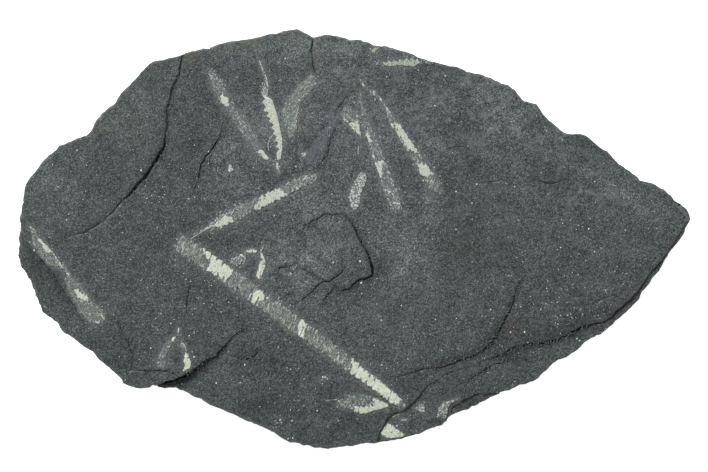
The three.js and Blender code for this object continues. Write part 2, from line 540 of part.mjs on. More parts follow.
const colonies = {
  // two rows of thecae back to back, the longest colony, across the middle of the slab
  long_biserial_graptolite: () =>
    film(
      stipe(
        [
          [-26.5, -0.3, 1.0], [-25.2, -1.2, 1.35], [-21.2, -3.9, 1.4], [-16.8, -7.1, 1.35],
          [-12.5, -10.2, 1.35], [-8.2, -13.3, 1.3], [-3.7, -16.6, 1.15], [0.1, -19.5, 1.1],
          [4.3, -22.8, 1.05], [6.3, -24.3, 0.85], [7.3, -25.0, 0.5], [7.7, -25.25, 0.2],
        ],
        ["left", "right"],
      ),
    ),
  // its shorter neighbour, which meets it near its thread-like near end
  short_biserial_graptolite: () =>
    film(
      stipe(
        [
          [-24.1, 0.75, 0.1], [-22.8, 1.4, 0.12], [-22.0, 1.7, 0.25], [-20.8, 2.2, 0.85],
          [-19.0, 3.1, 1.0], [-15.3, 4.9, 1.0], [-11.0, 7.0, 0.95], [-8.0, 8.5, 0.95],
          [-6.6, 9.0, 0.85], [-5.6, 9.3, 0.4],
        ],
        ["left", "right"],
      ),
    ),
  // the tuning fork: a worn left stipe, and a bright right stipe that carries the sicula
  tuning_fork_left_stipe: () =>
    film(
      stipe([
        [-21.8, 25.1, 0.25], [-21.1, 24.1, 0.65], [-20.4, 22.6, 0.85], [-19.5, 20.7, 0.7],
        [-18.9, 19.8, 0.6], [-18.0, 18.8, 0.75], [-16.5, 16.8, 0.9], [-15.4, 14.9, 0.65],
        [-14.6, 13.6, 0.55], [-14.0, 12.8, 0.5], [-13.2, 12.1, 0.3], [-12.6, 11.6, 0.1],
      ]),
    ),
  tuning_fork_right_stipe: () =>
    film([
      [-14.5, 26.7], [-14.3, 26.8], [-13.8, 25.7], [-13.4, 24.8], [-13.1, 23.8], [-12.9, 22.8],
      [-13.0, 21.3], [-12.3, 20.8], [-12.0, 19.8], [-11.5, 18.3], [-11.2, 16.8], [-10.9, 15.3],
      [-10.8, 14.1], [-10.9, 13.0], [-11.1, 12.0], [-11.4, 10.9], [-11.25, 9.9], [-11.55, 9.9],
      [-11.9, 10.9], [-11.7, 11.9], [-11.7, 12.9], [-11.4, 13.5], [-11.8, 13.8], [-11.5, 14.4],
      [-12.0, 14.8], [-11.7, 15.3], [-12.3, 15.7], [-12.0, 16.2], [-12.6, 16.6], [-12.1, 17.1],
      [-13.0, 17.6], [-12.6, 18.0], [-13.3, 18.4], [-12.9, 18.9], [-13.8, 19.2], [-13.3, 19.8],
      [-13.9, 20.4], [-13.5, 21.0], [-13.9, 21.6], [-13.6, 22.6], [-13.4, 23.6], [-13.8, 24.9],
      [-14.1, 25.8],
    ]),
  // a broad worn stipe below the crack in the top edge
  worn_top_stipe: () =>
    film([
      [-6.6, 24.8], [-5.7, 24.1], [-5.6, 23.3], [-6.7, 21.8], [-7.5, 21.1], [-8.2, 20.1],
      [-8.6, 19.0], [-8.7, 18.0], [-8.6, 16.2], [-9.5, 15.0], [-10.0, 15.5], [-10.5, 16.9],
      [-10.7, 18.0], [-10.9, 19.3], [-10.3, 20.5], [-9.2, 21.9], [-8.2, 23.2], [-7.0, 24.1],
    ]),
  // lies along the top edge, its thecae toward the edge
  top_edge_stipe: () =>
    film([
      [4.1, 26.6], [4.35, 26.05], [5.3, 25.85], [6.8, 26.0], [8.0, 25.9], [8.8, 25.8], [9.4, 26.1],
      [9.8, 26.4], [9.4, 27.1], [9.15, 26.7], [8.6, 27.2], [8.2, 26.75], [7.75, 27.2], [7.35, 26.7],
      [6.7, 27.0], [6.4, 26.55], [5.9, 26.9], [5.5, 26.45], [5.1, 26.8], [4.8, 26.4],
    ]),
  top_edge_chip: () =>
    film([
      [2.7, 27.9], [3.1, 28.1], [3.4, 28.3], [3.55, 28.65], [3.0, 28.75], [2.7, 28.5], [2.5, 28.1],
    ]),
  // the pair of stipes right of the middle, spreading downward from near the top edge
  right_pair_right_stipe: () =>
    film(
      stipe([
        [0.8, 24.1, 0.1], [1.4, 23.0, 0.18], [2.2, 22.3, 0.15], [3.0, 21.8, 0.4],
        [3.9, 21.0, 0.18], [5.0, 19.2, 0.25], [5.4, 18.1, 0.5], [6.5, 16.6, 0.65],
        [7.6, 14.8, 0.66], [8.4, 13.6, 0.7], [9.4, 12.1, 0.7], [10.3, 10.6, 0.85],
        [11.1, 9.4, 0.9], [12.0, 8.0, 0.85], [12.8, 7.0, 0.45],
      ]),
    ),
  right_pair_left_stipe: () =>
    film(
      stipe([
        [0.8, 22.3, 0.15], [0.9, 20.8, 0.15], [1.5, 18.6, 0.35], [2.1, 16.3, 0.65],
        [2.9, 14.1, 0.7], [3.7, 11.8, 0.85], [4.5, 9.9, 0.9], [5.1, 7.9, 0.95],
        [6.0, 5.8, 1.05], [6.2, 4.2, 0.6],
      ]),
    ),
  // fragments between the worn stipe and the right pair
  speckled_fragment: () =>
    film([
      [-2.1, 18.4], [-1.6, 19.25], [-0.9, 19.7], [-0.1, 19.1], [0.35, 18.4], [0.7, 17.5],
      [1.1, 16.1], [1.0, 15.2], [0.3, 15.7], [-0.4, 16.5], [-1.3, 17.4],
    ]),
  rounded_fragment: () =>
    film([
      [1.0, 10.0], [1.6, 9.8], [1.9, 9.3], [1.6, 8.2], [1.0, 6.9], [0.8, 5.9], [0.7, 5.0],
      [0.3, 4.4], [-0.1, 4.3], [-0.6, 4.9], [-0.8, 5.8], [-0.8, 6.8], [-0.1, 8.5], [0.5, 9.6],
    ]),
  // a small pair just above the long biserial
  centre_pair_right_stipe: () =>
    film([
      [-14.15, -1.7], [-13.6, -0.9], [-13.35, -1.0], [-13.85, -1.8], [-13.75, -2.5],
      [-13.4, -3.1], [-13.35, -3.6], [-13.45, -4.3], [-13.75, -5.1], [-13.95, -5.85],
      [-14.3, -6.1], [-14.7, -5.9], [-14.8, -5.2], [-14.5, -4.4], [-14.35, -3.6], [-14.0, -3.2],
      [-14.15, -2.5],
    ]),
  centre_pair_left_stipe: () =>
    film([
      [-14.6, -1.7], [-15.3, -1.45], [-16.3, -1.6], [-17.0, -2.2], [-17.7, -2.7], [-18.5, -2.9],
      [-18.6, -3.5], [-18.1, -3.9], [-17.4, -4.1], [-17.0, -3.8], [-16.6, -3.9], [-16.2, -3.1],
      [-16.2, -2.5], [-15.2, -2.3], [-14.6, -2.0],
    ]),
  // a small pair near the lower left edge
  lower_pair_right_stipe: () =>
    film([
      [-26.0, -15.3], [-25.55, -15.8], [-25.2, -16.7], [-24.9, -17.4], [-24.6, -18.4],
      [-24.5, -19.0], [-24.8, -19.45], [-25.35, -19.8], [-25.8, -19.95], [-25.7, -19.5],
      [-25.5, -18.9], [-25.7, -18.5], [-25.6, -17.8], [-25.4, -17.1], [-25.9, -16.6],
      [-26.2, -16.0],
    ]),
  lower_pair_left_stipe: () =>
    film([
      [-26.5, -13.4], [-26.3, -13.4], [-26.4, -14.4], [-26.75, -14.7], [-27.0, -15.1],
      [-27.2, -15.6], [-27.7, -16.3], [-28.0, -17.1], [-28.3, -18.0], [-28.2, -19.0],
      [-28.7, -19.6], [-29.7, -19.3], [-29.6, -18.1], [-29.2, -17.2], [-28.8, -16.6],
      [-28.5, -15.9], [-28.0, -15.3], [-27.5, -14.9], [-26.9, -14.5], [-26.6, -14.3],
    ]),
  // along the split that follows the slab's left margin
  left_margin_stipe: () =>
    film([
      [-48.9, 2.1], [-47.85, 1.3], [-47.2, 0.25], [-46.5, -0.65], [-45.4, -1.8], [-44.5, -3.1],
      [-43.6, -3.9], [-42.8, -5.0], [-41.9, -6.3], [-41.1, -7.1], [-40.4, -8.0], [-39.4, -9.3],
      [-38.4, -10.1], [-37.3, -11.45], [-37.4, -12.2], [-38.8, -12.9], [-39.6, -12.5],
      [-40.4, -11.8], [-41.1, -11.0], [-41.5, -10.2], [-42.2, -9.15], [-42.9, -8.0],
      [-43.3, -6.5], [-43.2, -5.5], [-43.7, -4.6], [-44.5, -4.2], [-45.2, -4.2], [-45.9, -3.9],
      [-46.7, -3.1], [-47.4, -2.3], [-48.1, -1.3], [-48.45, -0.4], [-48.3, 0.5], [-48.4, 1.1],
    ]),
  // tucked under the far end of the long biserial
  lower_stipe_fragment: () =>
    film([
      [-2.7, -24.5], [-2.4, -24.2], [-1.0, -23.7], [0.3, -23.4], [1.65, -23.35], [2.2, -23.6],
      [3.0, -23.9], [3.8, -24.2], [4.6, -24.6], [5.2, -24.95], [5.0, -25.2], [4.05, -25.5],
      [2.85, -25.8], [2.05, -26.1], [1.25, -26.3], [0.6, -26.2], [-0.25, -25.7], [-1.0, -25.4],
      [-2.0, -25.1], [-2.65, -24.9],
    ]),
  bottom_triangular_fragment: () =>
    filmOnLedge([
      [4.9, -27.65], [5.65, -27.9], [6.2, -28.4], [7.0, -28.95], [7.8, -29.5], [7.0, -29.8],
      [6.0, -29.95], [5.0, -29.95], [4.3, -29.7], [3.9, -29.15], [4.3, -28.45],
    ]),
  lower_right_fragment: () =>
    filmOnLedge([
      [12.4, -26.6], [12.6, -25.4], [13.15, -24.7], [14.1, -24.4], [14.8, -24.05],
      [15.6, -23.95], [15.3, -24.3], [14.5, -24.75], [14.1, -25.3], [13.95, -26.2],
      [13.7, -27.0], [13.4, -27.1], [12.95, -26.75],
    ]),
  // shreds of graptolite scattered between the colonies
  triangular_shred: () =>
    filmOnLedge([
      [9.0, -25.5], [9.6, -24.95], [10.4, -24.65], [10.6, -25.6], [10.5, -26.2], [9.8, -26.0],
      [9.35, -25.7],
    ]),
  slanted_shred: () => filmOnLedge([[5.6, -26.65], [6.65, -26.2], [6.75, -26.35], [5.7, -26.85]]),
  level_shred: () =>
    filmOnLedge([
      [6.95, -27.2], [7.35, -27.05], [7.8, -27.05], [7.8, -27.3], [7.35, -27.3], [7.0, -27.45],
    ]),
  curled_shred: () =>
    film([
      [-5.1, -21.3], [-4.8, -20.75], [-4.4, -20.6], [-4.0, -20.9], [-3.9, -21.3], [-4.1, -21.3],
      [-4.3, -20.95], [-4.6, -20.95], [-4.9, -21.35],
    ]),
  left_chip: () =>
    film([[-18.9, 11.1], [-18.6, 11.2], [-18.1, 10.3], [-18.6, 9.9], [-19.0, 9.9]]),
  centre_chip: () => film([[-8.1, 12.9], [-7.3, 13.0], [-7.3, 12.4], [-7.8, 12.3]]),
};

// Materials --------------------------------------------------------------------------------

const SHALE = new THREE.MeshStandardMaterial({ color: 0x515656, roughness: 0.85, metalness: 0 });
const BRIGHT_FILM = { color: 0xc9ceb6, roughness: 0.6, metalness: 0 };
const WORN_FILM = { color: 0x7d8680, roughness: 0.75, metalness: 0 };
const WORN = [
  "tuning_fork_left_stipe",
  "worn_top_stipe",
  "right_pair_left_stipe",
  "speckled_fragment",
  "centre_pair_left_stipe",
  "lower_pair_left_stipe",
];

// The cluster --------------------------------------------------------------------------------

const cluster = new THREE.Group();

const slab = new THREE.Mesh(shaleSlab(), SHALE);
slab.name = "shale_slab";
cluster.add(slab);

for (const [name, shapeOf] of Object.entries(colonies)) {
  const finish = WORN.includes(name) ? WORN_FILM : BRIGHT_FILM;
  const colony = new THREE.Mesh(shapeOf(), new THREE.MeshStandardMaterial(finish));
  colony.name = name;
  cluster.add(colony);
}

export default cluster;
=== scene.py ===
import json
import math
import random

import bpy
import numpy as np
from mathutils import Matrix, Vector
from mathutils.kdtree import KDTree


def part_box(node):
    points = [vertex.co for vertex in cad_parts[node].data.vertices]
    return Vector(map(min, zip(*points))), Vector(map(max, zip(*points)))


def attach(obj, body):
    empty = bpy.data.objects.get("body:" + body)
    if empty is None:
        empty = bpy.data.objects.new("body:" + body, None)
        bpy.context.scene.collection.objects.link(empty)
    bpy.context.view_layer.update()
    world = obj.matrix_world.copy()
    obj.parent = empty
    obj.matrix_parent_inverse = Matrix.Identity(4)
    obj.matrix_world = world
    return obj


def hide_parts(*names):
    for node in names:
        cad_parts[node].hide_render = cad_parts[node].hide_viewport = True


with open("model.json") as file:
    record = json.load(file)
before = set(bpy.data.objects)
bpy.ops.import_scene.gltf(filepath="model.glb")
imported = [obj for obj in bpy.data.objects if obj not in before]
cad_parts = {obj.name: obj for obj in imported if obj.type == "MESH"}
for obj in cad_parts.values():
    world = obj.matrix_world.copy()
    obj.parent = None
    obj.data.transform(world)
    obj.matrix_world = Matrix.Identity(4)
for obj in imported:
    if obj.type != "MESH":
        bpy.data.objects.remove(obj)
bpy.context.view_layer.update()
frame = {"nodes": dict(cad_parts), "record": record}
MM = 0.001  # one millimetre

# Camera: straight above the slab, far enough back that its sides barely show.
BED = 10.0  # height of the main bedding plane above the underside, in mm
LENS, SENSOR = 90.0, 36.0
VIEW_WIDTH = 106.2  # width of the picture on the bedding plane, in mm
VIEW_CENTRE = (-0.11, 0.43)  # the place on the bedding plane that the camera looks at, in mm


def new_object(name, data):
    """A new object in the scene, the only one selected and active."""
    made = bpy.data.objects.new(name, data)
    bpy.context.scene.collection.objects.link(made)
    bpy.ops.object.select_all(action="DESELECT")
    made.select_set(True)
    bpy.context.view_layer.objects.active = made
    return made


camera_data = bpy.data.cameras.new("overhead_camera")
camera_data.lens = LENS
camera_data.sensor_width = SENSOR
camera = new_object("overhead_camera", camera_data)
camera_height = BED + VIEW_WIDTH * LENS / SENSOR
camera.location = Vector((*VIEW_CENTRE, camera_height)) * MM
bpy.context.scene.camera = camera

# Shale slab -------------------------------------
# Dark grey mudstone split along its bedding: a flat top of several thin layers that end in low
# ragged steps, hairline cracks, and a broken side wall on which every lamina shows as a line.
SLAB_CELL = 0.4  # size of the cells that the surface is cut into, in mm
WALL_CELL = 0.7  # height of the cells on the side wall, in mm
WALL_TOP = BED - 0.5  # height up to which the side wall is cut into cells, in mm
UNDERSIDE = 0.01  # a vertex lower than this is on the underside, in mm
MERGE = 0.001  # vertices of a solid that are closer than this are one, in mm
DOWN = -0.9  # a face whose normal's Z is below this belongs to an underside


def open_piece(name, node):
    """A new piece that starts as the merged mesh of a CAD node, in edit mode."""
    piece = new_object(name, frame["nodes"][node].data.copy())
    piece.data.materials.clear()
    bpy.context.tool_settings.mesh_select_mode = (False, False, True)
    bpy.ops.object.mode_set(mode="EDIT")
    bpy.ops.mesh.select_all(action="SELECT")
    bpy.ops.mesh.remove_doubles(threshold=MERGE * MM)
    return piece


def hide_underside(piece):
    """Hides the faces that point down, so that the cuts leave them whole."""
    bpy.ops.object.mode_set(mode="OBJECT")
    for face in piece.data.polygons:
        face.select = face.normal.z < DOWN
    bpy.ops.object.mode_set(mode="EDIT")
    bpy.ops.mesh.hide(unselected=False)


def cut_across(axis, low, high, cell):
    """Cuts all that shows with planes a cell apart."""
    cuts = int((high - low) / (cell * MM))
    for i in range(cuts):
        place, normal = [0, 0, 0], [0, 0, 0]
        place[axis] = low + (i + 0.5) * cell * MM
        normal[axis] = 1
        bpy.ops.mesh.select_all(action="SELECT")
        bpy.ops.mesh.bisect(plane_co=place, plane_no=normal)


def close_piece():
    """Splits the cut faces into triangles and leaves edit mode."""
    bpy.ops.mesh.select_all(action="SELECT")
    bpy.ops.mesh.quads_convert_to_tris(quad_method="BEAUTY", ngon_method="BEAUTY")
    bpy.ops.mesh.reveal(select=False)
    bpy.ops.object.mode_set(mode="OBJECT")


def places_of(piece):
    """The piece's vertices in mm, one row each."""
    flat = np.zeros(len(piece.data.vertices) * 3)
    piece.data.vertices.foreach_get("co", flat)
    return flat.reshape(-1, 3) / MM


def normals_of(piece):
    flat = np.zeros(len(piece.data.vertices) * 3)
    piece.data.vertices.foreach_get("normal", flat)
    return flat.reshape(-1, 3)


def put_places(piece, places):
    piece.data.vertices.foreach_set("co", (places * MM).ravel())
    piece.data.update()


def ramp(values, low, high):
    """0 at low, 1 at high, with a soft start and end."""
    share = np.clip((values - low) / (high - low), 0, 1)
    return share * share * (3 - 2 * share)


def ruffle(piece, size, strength, direction, stretch=(1, 1, 1), group=""):
    """Moves the surface by a cloud of lumps of that size, in mm, stretched along each axis."""
    lumps = bpy.data.textures.new("lumps", "CLOUDS")
    lumps.cloud_type = "COLOR" if direction == "RGB_TO_XYZ" else "GRAYSCALE"
    lumps.noise_scale = 1.0
    lumps.noise_depth = 1
    spread = bpy.data.objects.new("lump_spread", None)
    bpy.context.scene.collection.objects.link(spread)
    spread.scale = [size * MM * s for s in stretch]
    push = piece.modifiers.new("ruffle", "DISPLACE")
    push.texture = lumps
    push.texture_coords = "OBJECT"
    push.texture_coords_object = spread
    push.direction = direction
    push.strength = strength * MM
    push.vertex_group = group
    bpy.context.view_layer.update()
    bpy.ops.object.modifier_apply(modifier=push.name)
    bpy.data.objects.remove(spread)
    bpy.data.textures.remove(lumps)


UPRIGHT = (1, 1, 40)  # lumps that are the same at every height
WAVES = [(9.0, 0.30), (3.0, 0.08)]  # the size and strength of the bed's swells, in mm
BREAKS = [(2.3, 0.34), (0.8, 0.32)]  # those of the wander of its broken edges


def swell(piece):
    """The bedding plane is never quite flat. The films on it rise and fall with it."""
    for size, strength in WAVES:
        ruffle(piece, size, strength, "Z", UPRIGHT)


slab = open_piece("broken_shale_slab", "shale_slab")
hide_underside(slab)
slab_low, slab_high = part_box("shale_slab")
cut_across(0, slab_low.x, slab_high.x, SLAB_CELL)
cut_across(1, slab_low.y, slab_high.y, SLAB_CELL)
cut_across(2, slab_low.z, WALL_TOP * MM, WALL_CELL)
close_piece()
height = places_of(slab)[:, 2]  # of each vertex in the solid, in mm

# broken edges wander, and a crack's two lips wander together
for size, strength in BREAKS:
    ruffle(slab, size, strength, "RGB_TO_XYZ", UPRIGHT)
places = places_of(slab)
places[:, 2] = height
put_places(slab, places)
swell(slab)

# the underside stays flat
places = places_of(slab)
places[height < UNDERSIDE, 2] = 0
put_places(slab, places)

# the side wall is rough, with laminae that jut out and set back, less so at its top and foot
ROUGH_TOP, ROUGH_FOOT = (BED - 0.2, BED - 1.2), (0.0, 0.6)  # heights it starts and is full at
wall = slab.vertex_groups.new(name="wall")
wall_share = ramp(height, *ROUGH_TOP) * ramp(height, *ROUGH_FOOT)
for index, share in enumerate(wall_share):
    if share > 0:
        wall.add([index], share, "REPLACE")
ruffle(slab, 1.2, 0.7, "NORMAL", (5, 5, 0.5), "wall")
ruffle(slab, 0.6, 0.3, "NORMAL", (1.5, 1.5, 1), "wall")
slab.vertex_groups.clear()


def smoothed(piece, values, rounds):
    """Values on the vertices, each averaged with its neighbours that many times."""
    ends = np.zeros(len(piece.data.edges) * 2, dtype=int)
    piece.data.edges.foreach_get("vertices", ends)
    a, b = ends.reshape(-1, 2).T
    count = np.bincount(a, minlength=len(values)) + np.bincount(b, minlength=len(values))
    for _ in range(rounds):
        total = np.zeros_like(values)
        for axis, column in enumerate(values.T):
            total[:, axis] = np.bincount(a, column[b], len(values))
            total[:, axis] += np.bincount(b, column[a], len(values))
        values = (values + total / np.maximum(count, 1)[:, None]) / 2
    return values


def write_mask(piece, name, values):
    mask = piece.data.attributes.new(name, "FLOAT", "POINT")
    mask.data.foreach_set("value", values.astype(np.float32))


def depth_in_streak(at, line):
    """How far each place lies inside a streak of [x, y, half width] points, or inside a dot of
    one point, in mm; below zero outside it."""
    best = np.full(len(at), -9.0)
    points = [np.array(p, float) for p in line]
    for a, b in zip(points, points[1:] or points):
        run = b[:2] - a[:2]
        share = np.clip((at - a[:2]) @ run / max(run @ run, 1e-9), 0, 1)
        gap = np.linalg.norm(at - a[:2] - share[:, None] * run, axis=1)
        best = np.maximum(best, a[2] + (b[2] - a[2]) * share - gap)
    return best


# The widest cracks are choked with dust near their ends, and the flakes beside them are worn
# down there: how full they are, then a streak of x, y and half width in mm.
CHOKED = [
    (0.75, [(-26.1, 26.6, 0.6), (-26.8, 23.4, 0.6), (-28.0, 19.3, 0.5), (-28.3, 15.5, 0.3)]),
    (0.9, [(-34.5, 6.0, 0.3), (-37.8, 2.6, 0.5), (-42.5, 0.4, 0.6)]),
    (0.4, [(-6.5, 29.6, 0.5), (-6.3, 27.0, 0.5), (-5.6, 24.4, 0.5)]),
]
DUST_TOP, DUST_FLOOR = BED - 0.12, BED - 1.0  # heights that the dust fills up to and from, in mm
DUST_EDGE = (-0.3, 0.2)  # how far inside its streak the dust starts and is full, in mm
WORN_REACH = 3.0  # how far from the dust the flakes are worn, in mm
WORN_SHARE = 0.85  # how much of their height a full crack's flakes lose
LEAST_FLAKE = 0.04  # what rises less than this over the bed is no flake, in mm
places = places_of(slab)
sunk = np.where(height > DUST_FLOOR, np.maximum(DUST_TOP - height, 0), 0)
proud = np.maximum(height - BED - LEAST_FLAKE, 0)
for full, line in CHOKED:
    inside = depth_in_streak(places[:, :2], line)
    places[:, 2] += full * ramp(inside, *DUST_EDGE) * sunk
    places[:, 2] -= full * WORN_SHARE * ramp(inside, -WORN_REACH, 0.0) * proud
put_places(slab, places)

# hollows are painted dark as shade, and crests are rubbed paler: how far, in mm, a place lies
# below or above its neighbours where that starts and where it is full
HOLLOW_BEND, CREST_BEND = (0.02, 0.1), (0.012, 0.08)
places = places_of(slab)
bend = ((smoothed(slab, places, 2) - places) * normals_of(slab)).sum(1)
hollow = ramp(bend, *HOLLOW_BEND)
write_mask(slab, "hollow", hollow)
write_mask(slab, "crest", ramp(-bend, *CREST_BEND))

# Stains, painted shade and painted light, each an oval: its x and y, its reach along and across in mm,
# its bearing in degrees and its strength. The bed is dusted pale in some places and darker in others,
# the dark partly painted shade along the steps.
PALE = [
    (-4.9, 28.8, 15, 2.6, -4, 0.8), (-12.0, 17.0, 6, 5, 0, 0.7), (-5.4, 4.9, 6, 4, 20, 0.75),
    (-7.8, -3.6, 5.5, 4.5, 20, 1.0), (6.6, -1.7, 4.5, 7, 0, 0.7), (-1.5, 25.3, 4, 2.5, 0, 0.5),
    (3.0, 14.3, 3, 8, 10, 0.5), (26.0, 19.6, 3.5, 3, -30, 0.5), (11.6, 12.4, 4, 4, 0, 0.45),
    (-2.8, 12.4, 4, 4, 0, 0.4), (-17.2, 5.2, 4, 4, 0, 0.45), (11.5, 4.9, 3, 3, 0, 0.7),
    (20.5, 18.5, 7, 5, -30, 0.9), (43.4, 5.4, 8, 2.0, -33, 0.5), (-43.9, 8.7, 4, 3, 40, 0.4),
    (-32.6, 18.0, 6, 4, 45, 0.35), (-18.5, 12.4, 4, 3, 0, 0.5), (29.0, 14.5, 4, 2, -30, 0.5),
]
SHADE = [
    (-47.2, -4.6, 5.5, 1.8, -55, 0.9), (-36.4, -16.7, 5, 3, -35, 0.5), (-14.8, -18.2, 7, 3, -12, 0.8),
    (-22.0, -6.5, 5, 3, -37, 0.3), (3.2, -4.6, 2.6, 1.8, 60, 0.9), (16.1, 17.1, 3, 2, 0, 0.7),
    (29.3, 8.4, 4, 2, -20, 0.5), (18.5, -1.7, 6, 5, 0, 0.35), (22.0, -14.4, 4.5, 1.6, 35, 0.9),
    (9.0, -21.6, 6, 1.8, 30, 0.7), (-0.7, -28.4, 7, 2.4, 0, 0.7), (17.0, -25.6, 3.5, 1.5, 22, 0.9),
    (-32.2, -0.2, 7, 6, 0, 0.5), (-14.2, -25.0, 7, 3, -10, 0.7), (-35.5, 12.5, 6, 5, 30, 0.35),
    (33.0, -12.6, 8, 1.4, 20, 0.7), (-26.4, 13.5, 3, 8, -20, 0.3), (-42.5, -9.8, 6, 3, 0, 0.4),
    (-2.8, -23.6, 4, 2.5, 0, 0.4), (14.5, -23.0, 5, 2.5, 20, 0.35),
]
VEINED = [(22, 19, 9, 5, -30, 1.0), (11, 20, 6, 5, 0, 0.8), (32, 9, 9, 5, -25, 0.7)]
OLIVE = [
    (-24.5, 28.4, 6, 2, 12, 0.6), (-12.5, 30.6, 7, 2, 8, 0.5), (-5.5, 30.5, 3, 2, 0, 0.4),
    (-38.0, 17.5, 5, 2, 45, 0.35), (-50.0, 2.0, 1, 2.5, 0, 0.3), (-48.0, -6.5, 1.2, 3, 25, 0.2),
]
RUST = [
    (-5.8, 27.6, 0.7, 1.6, 0, 0.8), (0.8, -22.8, 1.1, 0.5, 20, 0.8), (23.6, -13.2, 1.4, 1.8, 0, 0.6),
    (47.8, -0.4, 1.5, 0.6, 60, 0.8), (43.2, -6.9, 1.4, 0.6, 50, 0.8), (29.2, -18.9, 1.4, 0.5, 30, 0.9),
    (18.0, -1.0, 6, 5, 0, 0.12), (-33.0, 17.0, 5, 3, 45, 0.25),
]
# the deepest cracks have pale floors: dust, and painted light that lifts them out of their shadow
CRACK_DUST_AND_LIGHT = [
    (-26.6, 24.0, 4.5, 1.5, 100, 1.0), (-28.2, 16.0, 6, 1.5, 80, 1.0), (-32.0, 8.5, 5, 1.5, 50, 1.0),
    (-36.5, 3.5, 4, 1.2, 40, 0.7), (1.6, -2.6, 4.0, 1.2, -65, 0.8), (46.0, -3.5, 8, 1.5, 55, 0.9),
    (38.5, -12.0, 5, 1.2, 35, 0.7), (-6.0, 28.5, 1.0, 3.0, 0, 0.5),
]
# painted shadow along the steps and cracks: streaks of x, y and half width in mm
PAINTED_SHADOWS = [
    [(25.0, -6.0, 0.1), (23.2, -10.5, 0.5), (21.4, -14.0, 0.9), (18.0, -17.2, 0.6), (7.0, -20.5, 0.2)],
    [(41.5, -9.2, 0.1), (38.2, -12.0, 0.6), (32.5, -14.2, 0.7), (27.0, -16.0, 0.5), (20.5, -18.0, 0.2)],
    [(-16.5, -13.8, 0.1), (-20.4, -17.4, 0.5), (-24.0, -20.4, 0.9), (-27.5, -22.0, 1.0)],
    [(0.2, 1.8, 0.1), (1.9, -1.9, 0.4), (3.0, -4.4, 0.6), (2.9, -5.6, 0.3)],
    [(-41.5, 0.6, 0.1), (-35.0, 5.4, 0.3), (-31.0, 9.8, 0.5), (-28.6, 14.0, 0.4), (-28.0, 20.0, 0.1)],
    [(-40.8, -12.2, 0.1), (-43.2, -8.8, 0.5), (-46.6, -4.0, 0.7), (-49.0, -1.2, 0.4)],
    [(28.8, -4.2, -0.2), (31.4, -7.7, 0.0), (36.3, -9.2, 0.0), (37.8, -8.7, -0.2)],
    [(11.6, -27.3, 0.2), (13.9, -26.9, 0.3)], [(13.8, -26.0, 0.2), (15.3, -24.8, 0.3), (17.2, -24.2, 0.2)],
]
# how far inside such a streak it starts and is full, for this painted shadow and for the stipe below
PAINTED_SHADOW_EDGE, GHOST_EDGE = (-0.8, 0.5), (-0.5, 0.4)
# a stipe so worn that only a violet shadow of it is left: x, y and half width in mm
GHOST = [(-1.3, 21.8, 0.3), (-2.4, 20.1, 0.6), (-3.9, 17.2, 0.85), (-5.3, 14.2, 0.95), (-6.4, 11.6, 0.7)]


def oval_cover(spots):
    """How strongly a list of ovals covers each of the slab's vertices: stains, painted shade and painted
    light alike.
    """
    amount = np.zeros(len(places))
    for x, y, along, across, bearing, strength in spots:
        turn = math.radians(bearing)
        east, north = places[:, 0] - x, places[:, 1] - y
        far = (east * math.cos(turn) + north * math.sin(turn)) / along
        wide = (north * math.cos(turn) - east * math.sin(turn)) / across
        amount = np.maximum(amount, strength * np.exp(-(far**2) - wide**2))
    return amount


def gap_between(at, targets):
    """How far each place is from the nearest of some targets, seen from above."""
    tree = KDTree(len(targets))
    for index, target in enumerate(targets):
        tree.insert((target[0], target[1], 0), index)
    tree.balance()
    return np.array([tree.find((x, y, 0))[2] for x, y, _ in at])


for name, spots in {"pale": PALE, "veined": VEINED, "olive": OLIVE, "rust": RUST}.items():
    write_mask(slab, name, oval_cover(spots))
# the shade mask: dark ovals, and painted shadow along the steps and cracks
painted_shadow = np.max([depth_in_streak(places[:, :2], line) for line in PAINTED_SHADOWS], axis=0)
write_mask(slab, "shade", np.maximum(oval_cover(SHADE), ramp(painted_shadow, *PAINTED_SHADOW_EDGE)))
write_mask(slab, "ghost", ramp(depth_in_streak(places[:, :2], GHOST), *GHOST_EDGE))

WALL_LOW, WALL_HIGH = 1.0, 7.0  # heights between which there is only side wall, in mm
FALLEN = 9.3  # rock below this height has dropped away from the bed, in mm
CRACK_FLOOR = 8.2  # height of the deepest crack's floor, in mm
HOLLOW_ENOUGH = 0.7  # how hollow a place in a crack is
RIM = 0.7  # width of the rim along the side wall, where cracks count as wall, in mm
LIP = 0.45  # width of a crack's lips, in mm
wall_gap = gap_between(places, places[(height > WALL_LOW) & (height < WALL_HIGH)])
cracked = (hollow > HOLLOW_ENOUGH) & (height > CRACK_FLOOR) & (wall_gap > RIM)
crack_gap = gap_between(places, places[cracked])
lips = ~cracked & (crack_gap < LIP) & (normals_of(slab)[:, 2] > 0.6)
lips &= (height > BED - 1.0) & (wall_gap > RIM)
write_mask(slab, "rim_gap", gap_between(places, places[height < FALLEN]))
write_mask(slab, "crack_gap", crack_gap)
# pale grey on the deepest crack floors, partly dust and partly painted light against their shadow
write_mask(slab, "dust_and_painted_light", oval_cover(CRACK_DUST_AND_LIGHT) * ramp(hollow, 0.3, 0.8))

# every film is ringed by loose flecks of its clay
RING_STEP = 0.2  # distance between the places that stand for a film's edge, in mm
EDGE_STEPS = 12  # an edge of this many steps runs across a film and not round it
film_slots = {part["node"]: part["material_slot"] for part in frame["record"]["subparts"]}
ringed = []
for node, kind in film_slots.items():
    if kind == "shale":
        continue
    solid = frame["nodes"][node].data
    for a, b in {tuple(sorted(edge.vertices)) for edge in solid.edges}:
        start = solid.vertices[a].co / MM
        run = solid.vertices[b].co / MM - start
        steps = max(1, int(run.xy.length / RING_STEP))
        if steps < EDGE_STEPS:
            ringed += [start + run * (i / steps) for i in range(steps + 1)]
write_mask(slab, "film_gap", gap_between(places, ringed))
bpy.ops.object.shade_smooth_by_angle(angle=math.radians(40))


